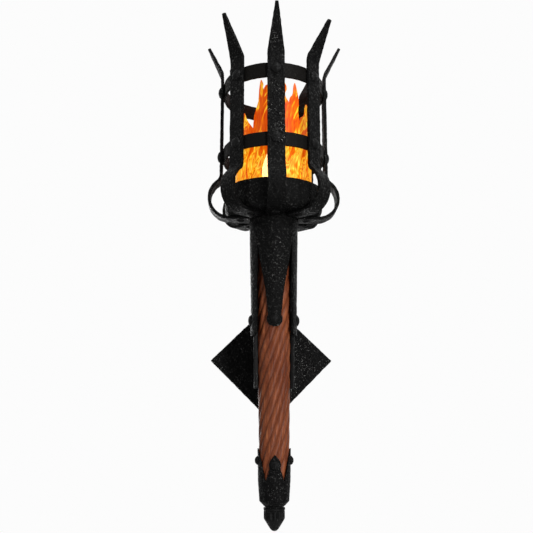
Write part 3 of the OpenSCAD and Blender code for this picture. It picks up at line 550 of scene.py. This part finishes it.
def head(bm, radius, height, foot, seed):
    """A hammered rivet head whose flat side lies at a radius and faces the axis."""
    made = bmesh.ops.create_uvsphere(bm, u_segments=28, v_segments=16, radius=1)["verts"]
    for vert in made:
        x, y, z = vert.co
        z = max(z, -0.12)
        dent = 0.07 * noise.noise(Vector((x, y, z)) * 2.3 + Vector((seed, 0, 0)))
        vert.co = (x * radius * (1 + dent), -foot - z * height * (1 + dent), y * radius * (1 + dent))


def peg(bm, radius, near, far, sides=20):
    """A round peg along the front direction, between two radii."""
    turn = Matrix.Translation((0, -(near + far) / 2, 0)) @ Matrix.Rotation(math.pi / 2, 4, "X")
    bmesh.ops.create_cone(bm, cap_ends=True, segments=sides, radius1=radius, radius2=radius, depth=far - near,
                          matrix=turn)


def rivets(height, seed):
    """Domed rivets through the straps and a ring, with their inner heads."""
    bm = bmesh.new()
    inner = RING_R - RING_T
    for i in range(STRAPS):
        one = bmesh.new()
        head(one, RIVET_R, RIVET_H, CAGE_R - RIVET_SINK, seed + i)
        peg(one, SHANK_R, inner - 1, CAGE_R)
        peg(one, INNER_HEAD_R, inner - 1.7, inner - 0.1)
        one.transform(Matrix.Rotation(STRAP_TURN * i, 4, "Z") @ Matrix.Translation((0, 0, height)))
        take_in(bm, one)
    bmesh.ops.recalc_face_normals(bm, faces=bm.faces)
    return bm


piece("top_ring_rivet_heads", rivets(TOP_RING_Z, 20), WORN_IRON, ["top_ring_rivets"])
piece("middle_ring_rivet_heads", rivets(MIDDLE_RING_Z, 40), WORN_IRON, ["middle_ring_rivets"])


# ---- bowl and shade ----


def corner(radius, centre_r, centre_z, steps=8):
    """The bowl's round corner, from its floor out to its wall."""
    turns = [-math.pi / 2 + math.pi / 2 * i / steps for i in range(steps + 1)]
    return [(centre_r + radius * math.cos(a), centre_z + radius * math.sin(a)) for a in turns]


def bowl():
    """A raised bowl with a round corner and a hammered wall."""
    flat = BOWL_R - BOWL_CORNER
    bend = FOOT_TOP + BOWL_CORNER
    bore = TUBE_R + SLIP
    outside = [(bore, FOOT_TOP)] + corner(BOWL_CORNER, flat, bend) + [(BOWL_R, RIM_Z)]
    inside = [(bore, FLOOR_Z)] + corner(BOWL_CORNER - BOWL_WALL, flat, bend) + [(BOWL_R - BOWL_WALL, RIM_Z)]
    bm = turned(outside + inside[::-1], 168)
    soften(bm, 0.7)
    hammer(bm, blow=9, depth=0.4, seed=14)
    return bm


piece("raised_bowl", bowl(), IRON, ["bowl"])


def foot_rivets():
    """Rivets that hold the strap feet to the bowl's floor, with low heads outside and inside."""
    outer_h, inner_h, inner_r = 2.6, 1.4, 4.8
    bm = bmesh.new()
    head(bm, SMALL_RIVET_R, outer_h, 0, 61)
    bmesh.ops.transform(bm, verts=bm.verts[:], matrix=Matrix.Rotation(math.pi / 2, 4, "X"))
    bmesh.ops.translate(bm, verts=bm.verts[:], vec=(0, 0, FOOT_TOP - STRAP_T + 0.2))
    low, high = FOOT_TOP - STRAP_T, FLOOR_Z
    for radius, bottom, top in ((SHANK_R, low, high), (inner_r, high, high + inner_h)):
        bmesh.ops.create_cone(bm, cap_ends=True, segments=20, radius1=radius, radius2=radius, depth=top - bottom,
                              matrix=Matrix.Translation((0, 0, (bottom + top) / 2)))
    bmesh.ops.translate(bm, verts=bm.verts[:], vec=(0, -FOOT_RIVET_RING, 0))
    bmesh.ops.recalc_face_normals(bm, faces=bm.faces)
    round_copies(bm, STRAPS)
    return bm


piece("strap_foot_rivet_heads", foot_rivets(), WORN_IRON, ["strap_foot_rivets"])


def shade():
    """A rolled sheet whose top edge is cut into flame tongues. Its layer rises from the valleys to the tips."""
    columns, low_rows, rows = 28, 36, 34
    bm = bmesh.new()
    up_tongue = bm.verts.layers.float.new("up_tongue")
    for i, (tip_at, tip) in enumerate(zip(TONGUE_AT, TONGUE_UP)):
        before = VALLEY_AT[i - 1] - (360 if i == 0 else 0)
        left, right = VALLEY_UP[i - 1], VALLEY_UP[i]
        leans = i in LEANING_TONGUES
        left_edge = SWELLING_EDGE if leans else HOLLOW_EDGE
        right_edge = STRAIGHT_EDGE if leans else SWELLING_EDGE
        grid = bmesh.ops.create_grid(bm, x_segments=columns, y_segments=low_rows + rows, size=1)
        for vert in grid["verts"]:
            share = (vert.co.x + 1) / 2
            row = round((vert.co.y + 1) / 2 * (low_rows + rows))
            t = max(0, row - low_rows) / rows
            angles = (tip_at - (tip_at - before) * blend_points(left_edge, t),
                      tip_at + (VALLEY_AT[i] - tip_at) * blend_points(right_edge, t))
            heights = (left + (tip - left) * t, right + (tip - right) * t)
            angle = math.radians(angles[0] + (angles[1] - angles[0]) * share)
            top = SHADE_H + heights[0] + (heights[1] - heights[0]) * share
            height = top * min(1, row / low_rows)
            vert[up_tongue] = t * (heights[0] + (heights[1] - heights[0]) * share) / max(TONGUE_UP)
            vert.co = (SHADE_R * math.sin(angle), -SHADE_R * math.cos(angle), SHADE_Z + height)
    bmesh.ops.remove_doubles(bm, verts=bm.verts, dist=0.002)
    inner = bmesh.ops.extrude_face_region(bm, geom=bm.faces[:], use_keep_orig=True)["geom"]
    for vert in inner:
        if isinstance(vert, bmesh.types.BMVert):
            vert.co.xy *= 1 - SHADE_WALL / SHADE_R
    bmesh.ops.recalc_face_normals(bm, faces=bm.faces)
    return bm


piece("printed_flame_shade", shade(), FLAME, ["flame_shade"], body="shade")


# ---- collar ----


def collar_skin(low_r, tip_z):
    """Line of the collar's outside from a tongue's tip up over the cap to the tube's hole."""
    line = [(tip_z, low_r), (TAPER_Z, low_r), (NOTCH_TOP - ROOT_H, ROOT_R), (NOTCH_TOP, NOTCH_R),
            (FOOT_TOP, COLLAR_TOP_R)]
    rise = FOOT_TOP - tip_z
    cap = COLLAR_TOP_R - TUBE_R - SLIP
    share = rise / (rise + cap)

    def skin(t):
        if t >= share:
            return COLLAR_TOP_R - cap * (t - share) / (1 - share), FOOT_TOP
        z = tip_z + rise * t / share
        return blend_points(line, z), z
    return skin


def collar():
    """A sheet iron collar with four long tongues: the front and rear ones end in round bosses."""
    edge = NOTCH_R * math.sin(math.pi / 4)
    front_r = wood_r(COLLAR_RIVET_Z + BOSS_R) + SLIP + COLLAR_WALL
    front_l, side_l = NOTCH_TOP - COLLAR_RIVET_Z - BOSS_R, NOTCH_TOP - SIDE_TONGUE_Z
    front = ((0, BOSS_NECK * BOSS_R), (COLLAR_RIVET_Z, BOSS_NECK * BOSS_R), (COLLAR_RIVET_Z + BOSS_R, 0.88 * BOSS_R),
             (NOTCH_TOP - 0.75 * front_l, 0.5 * edge), (NOTCH_TOP - 0.5 * front_l, 0.67 * edge),
             (NOTCH_TOP - 0.27 * front_l, 0.84 * edge), (NOTCH_TOP, edge))
    side = ((SIDE_TONGUE_Z, SIDE_TONGUE_W - 4), (SIDE_TONGUE_Z + 4, SIDE_TONGUE_W),
            (NOTCH_TOP - 0.46 * side_l, SIDE_TONGUE_W), (NOTCH_TOP - 0.25 * side_l, SIDE_TONGUE_W * 1.12),
            (NOTCH_TOP, edge))

    def half_width(outline, boss, skin):
        def width(t):
            radius, z = skin(t)
            if z >= NOTCH_TOP - 0.5:
                return radius * math.sin(math.pi / 4)
            chord = BOSS_R ** 2 - (z - COLLAR_RIVET_Z) ** 2 if boss else 0
            if boss and z <= COLLAR_RIVET_Z:
                return math.sqrt(max(chord, 0))
            return max(blend_points(outline, z), math.sqrt(max(chord, 0)))
        return width

    bm = bmesh.new()
    for quarter in range(4):
        boss = quarter % 2 == 0
        if boss:
            skin = collar_skin(front_r, COLLAR_RIVET_Z - BOSS_R)
        else:
            skin = collar_skin(COLLAR_LOW_R, SIDE_TONGUE_Z)
        wrapped(bm, 112, 26, skin, half_width(front if boss else side, boss, skin), math.pi / 2 * quarter)
    bmesh.ops.remove_doubles(bm, verts=bm.verts, dist=0.05)
    thicken(bm, COLLAR_WALL)
    soften(bm, 0.7, least=50)
    hammer(bm, blow=6.5, depth=0.35, seed=16)
    return bm


piece("tongued_collar", collar(), IRON, ["socket_collar"])


def tongue_rivets(name, node, heads):
    """Domed rivets, each given as its quarter, its seat's radius, its place along the axis and its head's radius
    and height."""
    bm = bmesh.new()
    for quarter, seat, z, radius, height in heads:
        sink = seat - math.sqrt(seat ** 2 - radius ** 2)
        one = bmesh.new()
        head(one, radius, height + sink, seat - sink, quarter + 70)
        peg(one, SHANK_R * 0.7, seat - 6, seat)
        one.transform(Matrix.Rotation(math.pi / 2 * quarter, 4, "Z") @ Matrix.Translation((0, 0, z)))
        take_in(bm, one)
    bmesh.ops.recalc_face_normals(bm, faces=bm.faces)
    piece(name, bm, WORN_IRON, [node])


FRONT_SEAT = wood_r(COLLAR_RIVET_Z + BOSS_R) + SLIP + COLLAR_WALL
tongue_rivets("collar_rivet_heads", "collar_rivets",
              [(quarter, COLLAR_LOW_R if quarter % 2 else FRONT_SEAT, COLLAR_RIVET_Z,
                SIDE_RIVET_R if quarter % 2 else BOSS_RIVET_R, COLLAR_RIVET_H) for quarter in range(4)])


# ---- handle ----


def handle():
    """A tapered beech handle with spiral flutes, and a plain tenon for the ferrule."""
    around, rows = RIDGES * 12, 120
    bm = bmesh.new()
    groove = bm.verts.layers.float.new("groove")
    ring_verts = bmesh.ops.create_circle(bm, cap_ends=False, segments=around, radius=HANDLE_BOTTOM_R)["verts"]
    for vert in ring_verts:
        angle = math.atan2(vert.co.y, vert.co.x)
        cut = 1 - abs(math.sin(RIDGES * angle / 2))
        vert[groove] = cut
        vert.co *= 1 - GROOVE * cut / HANDLE_BOTTOM_R
        vert.co.z = -HANDLE_BOTTOM
    step = (HANDLE_TOP + HANDLE_BOTTOM) / rows
    turn = Matrix.Rotation(2 * math.pi * step / SPIRAL_LEAD, 3, "Z")
    first = edges = bm.edges[:]
    for i in range(rows):
        verts, edges = drawn_on(bm, edges)
        grow = wood_r(-HANDLE_BOTTOM + step * (i + 1)) / wood_r(-HANDLE_BOTTOM + step * i)
        bmesh.ops.scale(bm, verts=verts, vec=(grow, grow, 1))
        bmesh.ops.rotate(bm, verts=verts, cent=(0, 0, 0), matrix=turn)
        bmesh.ops.translate(bm, verts=verts, vec=(0, 0, step))
    bmesh.ops.holes_fill(bm, edges=edges, sides=0)
    shoulder, edges = drawn_on(bm, first)
    for vert in shoulder:
        vert.co.xy = vert.co.xy.normalized() * TENON_R
    end, edges = drawn_on(bm, edges)
    bmesh.ops.translate(bm, verts=end, vec=(0, 0, -TENON_L))
    bmesh.ops.holes_fill(bm, edges=edges, sides=0)
    bmesh.ops.recalc_face_normals(bm, faces=bm.faces)
    return bm


piece("carved_handle", handle(), WOOD, ["handle"], smooth=50)


# ---- ferrule and finial ----


def ferrule():
    """A sheet iron ferrule with four leaf petals and a chamfered end."""
    notch = -(FRONT_PETAL_TIP + PETAL_L)
    outer = wood_r(-SIDE_PETAL_TIP) + SLIP + FERRULE_WALL
    notch_r = outer - 0.8
    seam = math.asin(FRONT_PETAL_W / notch_r)
    cap = FERRULE_TIP_R - TUBE_R - SLIP
    bm = bmesh.new()
    for quarter in range(4):
        aside = quarter % 2
        tip = -(SIDE_PETAL_TIP if aside else FRONT_PETAL_TIP)
        line = ((-FERRULE_BOTTOM, FERRULE_TIP_R), (CHAMFER_H - FERRULE_BOTTOM, FERRULE_END_R),
                (notch, notch_r), (-SIDE_PETAL_TIP, outer))
        petal = ((1, notch_r * math.cos(seam)),) + SIDE_PETAL if aside else FRONT_PETAL
        leaf = [(tip - (tip - notch) * share, width) for share, width in petal]
        spread = math.sin(math.pi / 2 - seam if aside else seam)
        fall = tip + FERRULE_BOTTOM
        start = cap / (cap + fall)

        def skin(t, start=start, fall=fall, line=line):
            if t <= start:
                return TUBE_R + SLIP + cap * t / start, -FERRULE_BOTTOM
            z = -FERRULE_BOTTOM + fall * (t - start) / (1 - start)
            return blend_points(line, z), z

        def width(t, skin=skin, leaf=leaf, spread=spread):
            radius, z = skin(t)
            return blend_points(leaf, z) if z > notch else radius * spread

        wrapped(bm, 84, 20, skin, width, math.pi / 2 * quarter)
    bmesh.ops.remove_doubles(bm, verts=bm.verts, dist=0.05)
    thicken(bm, FERRULE_WALL)
    soften(bm, 0.4, least=50)
    hammer(bm, blow=6, depth=0.25, seed=18)
    return bm


piece("petal_ferrule", ferrule(), IRON, ["ferrule"])

FERRULE_SEAT = wood_r(-SIDE_PETAL_TIP) + FERRULE_WALL
tongue_rivets("ferrule_rivet_heads", "ferrule_rivets",
              [(quarter, FERRULE_SEAT,
                -(SIDE_PETAL_TIP + PETAL_L * 0.46) if quarter % 2 else -(FRONT_PETAL_TIP + PETAL_L * 0.36),
                SMALL_RIVET_R, SMALL_RIVET_H) for quarter in range(4)])


def finial():
    """A turned finial with a fluted barrel and a blunt acorn tip."""
    neck, barrel_r = 1.8, FINIAL_R - 0.4
    top = -FERRULE_BOTTOM
    barrel = top - FINIAL_L * 0.48
    profile = [(0, top), (FINIAL_R - 2, top), (FINIAL_R - 2, top - neck), (FINIAL_R, top - neck - 0.5),
               (FINIAL_R, top - neck - 3), (barrel_r - 0.8, top - neck - 3.6), (barrel_r, top - neck - 4.4)]
    profile += [(barrel_r * r, top - FINIAL_L * z)
                for r, z in ((1, 0.48), (0.95, 0.53), (0.52, 0.82), (0.38, 0.91), (0.22, 0.97), (0, 1))]
    bm = turned(profile, FINIAL_FLUTES * 12, spacing=1.2, closed=False)
    soften(bm, 0.4)
    flutes_low, flutes_high = barrel - 2, top - neck - 4.6
    for vert in bm.verts:
        x, y, z = vert.co
        radius = math.hypot(x, y)
        if radius > barrel_r * 0.8 and flutes_low < z < flutes_high:
            reach = min(1, (z - flutes_low) / 2.5, (flutes_high - z) / 1.5)
            cut = FLUTE_DEPTH * reach * (0.5 - 0.5 * math.cos(FINIAL_FLUTES * math.atan2(y, x))) ** 1.5
            vert.co.xy *= 1 - cut / radius
    return bm


piece("fluted_finial", finial(), FILED_IRON, ["finial"])


# ---- bracket ----


def yoke():
    """Two flat bars beside the handle, joined behind it by a hoop that the arm is welded to."""
    half = math.asin(YOKE_W / 2 / (wood_r(0) + YOKE_T))
    turns = [math.pi / 2 - half + half * i / 4 for i in range(9)]
    turns += [math.pi / 2 + half + (math.pi / 2 - half) * i / 16 for i in range(1, 17)]
    turns += [2 * math.pi - a for a in turns[-2::-1]]
    stops = (-YOKE_DOWN, -HOOP_H / 2, HOOP_H / 2, YOKE_UP)
    heights = [-YOKE_DOWN]
    for low, high in zip(stops, stops[1:]):
        steps = round((high - low) / 2)
        heights += [low + (high - low) * i / steps for i in range(1, steps + 1)]
    bm = bmesh.new()
    grid = bmesh.ops.create_grid(bm, x_segments=len(turns) - 1, y_segments=len(heights) - 1, size=1)
    for vert in grid["verts"]:
        turn = turns[round((vert.co.x + 1) / 2 * (len(turns) - 1))]
        z = heights[round((vert.co.y + 1) / 2 * (len(heights) - 1))]
        radius = wood_r(z) + SLIP + YOKE_T
        vert.co = (radius * math.sin(turn), -radius * math.cos(turn), z)
    bare = [f for f in bm.faces
            if f.calc_center_median().y > YOKE_W / 2 and abs(f.calc_center_median().z) > HOOP_H / 2]
    bmesh.ops.delete(bm, geom=bare, context="FACES")
    thicken(bm, YOKE_T)
    soften(bm, 0.7, least=50)
    hammer(bm, depth=0.35, seed=22)
    return bm


piece("yoke_bars", yoke(), FILED_IRON, ["yoke"])


def wall_plate():
    """A square plate on its corner, with a bevelled edge and two screw holes."""
    bm = bmesh.new()
    cuts = 52
    bmesh.ops.create_grid(bm, x_segments=cuts, y_segments=cuts, size=PLATE_SIDE / 2)
    bmesh.ops.rotate(bm, verts=bm.verts[:], cent=(0, 0, 0), matrix=Matrix.Rotation(math.pi / 4, 3, "Z"))
    bmesh.ops.rotate(bm, verts=bm.verts[:], cent=(0, 0, 0), matrix=Matrix.Rotation(math.pi / 2, 3, "X"))
    bmesh.ops.translate(bm, verts=bm.verts[:], vec=(0, -PLATE_T, 0))
    holes = [(0, ARM_R - ARM_WALL), (BOX_SCREW_SPACING / 2, BOX_SCREW_R), (-BOX_SCREW_SPACING / 2, BOX_SCREW_R)]
    for height, radius in holes:
        inside = [f for f in bm.faces if math.hypot(f.calc_center_median().x,
                                                    f.calc_center_median().z - height) < radius + 0.4]
        bmesh.ops.delete(bm, geom=inside, context="FACES")
        rim = {v for e in bm.edges if len(e.link_faces) == 1 for v in e.verts
               if math.hypot(v.co.x, v.co.z - height) < radius * 1.9 + 1.5}
        for vert in rim:
            away = Vector((vert.co.x, 0, vert.co.z - height)).normalized() * radius
            vert.co.x, vert.co.z = away.x, away.z + height
    bmesh.ops.recalc_face_normals(bm, faces=bm.faces)
    if sum(f.normal.y for f in bm.faces) > 0:
        bmesh.ops.reverse_faces(bm, faces=bm.faces)
    bmesh.ops.solidify(bm, geom=bm.faces[:], thickness=PLATE_T)
    bmesh.ops.recalc_face_normals(bm, faces=bm.faces)
    soften(bm, 1.4, least=50)
    hammer(bm, blow=9, depth=0.5, seed=24)
    for vert in bm.verts:
        if vert.co.y > -1:
            vert.co.y = min(vert.co.y, 0)
    return bm


piece("diamond_wall_plate", wall_plate(), IRON, ["wall_plate"], place=WALL)


def bracket_tube():
    """The arm tube from the plate to the yoke's hoop."""
    end = WALL_GAP - wood_r(0) - YOKE_T + 1
    bm = turned([(ARM_R - ARM_WALL, PLATE_T), (ARM_R, PLATE_T), (ARM_R, end), (ARM_R - ARM_WALL, end)], 72)
    soften(bm, 0.4)
    bm.transform(Matrix.Rotation(math.pi / 2, 4, "X"))
    hammer(bm, depth=0.25, seed=26)
    return bm


piece("arm_tube", bracket_tube(), IRON, ["bracket_arm"], place=WALL)


def flange():
    """A turned flange between arm and plate."""
    bm = turned([(ARM_R + SLIP, PLATE_T), (FLANGE_R, PLATE_T), (FLANGE_R, PLATE_T + FLANGE_T / 2),
                 (FLANGE_R - FLANGE_T, PLATE_T + FLANGE_T), (ARM_R + SLIP, PLATE_T + FLANGE_T)], 96)
    soften(bm, 0.4)
    bm.transform(Matrix.Rotation(math.pi / 2, 4, "X"))
    hammer(bm, depth=0.2, seed=27)
    return bm


piece("turned_flange", flange(), IRON, ["arm_flange"], place=WALL)


# ---- lamp ----


def bulb():
    """A candle bulb: a neck, a swell and a tip drawn to a point."""
    neck = BULB_BASE_R * 0.86
    line = [(0, GLASS_Z), (neck, GLASS_Z)]
    for i in range(1, 17):
        t = i / 16
        line.append((neck + (BULB_R - neck) * math.sin(math.pi / 2 * t), GLASS_Z + BULB_H * 0.36 * t))
    for i in range(1, 25):
        t = i / 24
        line.append(((BULB_R - 1.2) * max(math.cos(math.pi / 2 * t), 0) ** 0.92 + 1.2 * (1 - t) ** 0.5,
                     GLASS_Z + BULB_H * (0.36 + 0.64 * t)))
    line[-1] = (0, GLASS_Z + BULB_H)
    return turned(line, 64, spacing=4, closed=False)


piece("candle_bulb_glass", bulb(), GLASS, ["bulb_glass"], body="bulb", smooth=60)


def dress(node, material):
    """Gives a CAD node that keeps its shape its finish."""
    slots = NODES[node].data.materials
    slots.clear()
    slots.append(material)


for node in ("bulb_screw_base", "bulb_tip_contact", "lamp_holder_screw_shell", "lamp_holder_centre_contact",
             "clamp_nut", "clamp_washer", "centre_tube"):
    dress(node, BRASS)
dress("bulb_filament", FILAMENT)
dress("lamp_holder_body", PHENOLIC)
dress("supply_leads", INSULATION)
dress("shade_seat_ring", IRON)


# ---- camera, light and floor ----

# The photograph's view in the torch's frame, fitted to the rings' ellipses
VIEW_TURN, VIEW_RISE = math.radians(2.3), math.radians(12)
VIEW_Z, VIEW_SHIFT, VIEW_REACH = 119, 10.7, 938.4
LENS, SENSOR = 42.69, 36    # millimetres


def camera():
    """The photograph's view: from below and in front."""
    made = bpy.data.objects.new("camera", bpy.data.cameras.new("camera"))
    bpy.context.scene.collection.objects.link(made)
    made.data.lens = LENS
    made.data.sensor_width = SENSOR
    turn = Matrix.Rotation(-VIEW_TURN, 3, "Z") @ Matrix.Rotation(math.pi / 2 + VIEW_RISE, 3, "X")
    at = Vector((0, 0, VIEW_Z)) + turn @ Vector((-VIEW_SHIFT, 0, VIEW_REACH))
    made.matrix_world = Matrix.Translation(TORCH @ at) @ (Matrix.Rotation(LEAN, 3, "X") @ turn).to_4x4()
    bpy.context.scene.camera = made


# Lamps and floor are placed and sized in metres in the row frame
FLOOR_DROP, FLOOR_HALF = 1.3, 12


def soft_box(name, at, width, height, power, target=(0, -0.1, 0.1)):
    """A soft rectangular lamp that faces the torch and stays out of the picture itself."""
    made = bpy.data.objects.new(name, bpy.data.lights.new(name, "AREA"))
    bpy.context.scene.collection.objects.link(made)
    made.data.shape = "RECTANGLE"
    made.data.size, made.data.size_y = width, height
    made.data.energy = power
    made.location = at
    made.rotation_euler = (Vector(target) - Vector(at)).to_track_quat("-Z", "Y").to_euler()
    made.visible_camera = False


def looked_at(made):
    """1 where the camera, a gloss or glass looks at it, and 0 for the light that it gives."""
    path = add(made, "ShaderNodeLightPath").outputs
    direct = add(made, "ShaderNodeMath", {0: path["Is Camera Ray"], 1: path["Is Glossy Ray"]}, operation="MAXIMUM")
    return add(made, "ShaderNodeMath", {0: direct.outputs["Value"], 1: path["Is Transmission Ray"]},
               operation="MAXIMUM").outputs["Value"]


def pale_world():
    """Even pale light, and white where the camera, a gloss or glass looks past the torch."""
    world = bpy.data.worlds.new("pale_studio")
    bpy.context.scene.world = world
    world.use_nodes = True
    pale = add(world, "ShaderNodeMix", {0: looked_at(world)}, {6: colour("#767676"), 7: colour("#fcfcfc")},
               data_type="RGBA")
    drive(world, world.node_tree.nodes["Background"], Color=pale.outputs[2])


def floor():
    """A pale floor well under the torch, where a wall light has it. It is lifted only for what looks at it, so that
    it gives the torch no light of its own."""
    bm = bmesh.new()
    bmesh.ops.create_grid(bm, x_segments=1, y_segments=1, size=FLOOR_HALF)
    mesh = bpy.data.meshes.new("floor")
    bm.transform(Matrix.Translation((0, 0, -FLOOR_DROP)))
    bm.to_mesh(mesh)
    bm.free()
    made, shader = finish("pale_floor")
    shader.inputs["Base Color"].default_value = colour("#f2f2f2")
    shader.inputs["Roughness"].default_value = 0.9
    shader.inputs["Emission Color"].default_value = colour("#ffffff")
    lift = add(made, "ShaderNodeMath", {0: looked_at(made)}, {1: 0.5}, operation="MULTIPLY")
    drive(made, shader, Emission_Strength=lift.outputs["Value"])
    mesh.materials.append(made)
    obj = bpy.data.objects.new("floor", mesh)
    bpy.context.scene.collection.objects.link(obj)


camera()
soft_box("key_strip_right", (0.6, -1.33, -0.1), 0.06, 2, 32)
soft_box("top_front", (0.3, -1.0, 1.4), 0.1, 0.8, 16)
soft_box("fill_left", (-1.1, -1.0, 0.2), 0.3, 0.9, 4)
soft_box("fill_rear", (-0.5, 1.5, 0.5), 0.6, 1.2, 9)
pale_world()
floor()
bpy.context.scene.view_settings.view_transform = "Standard"
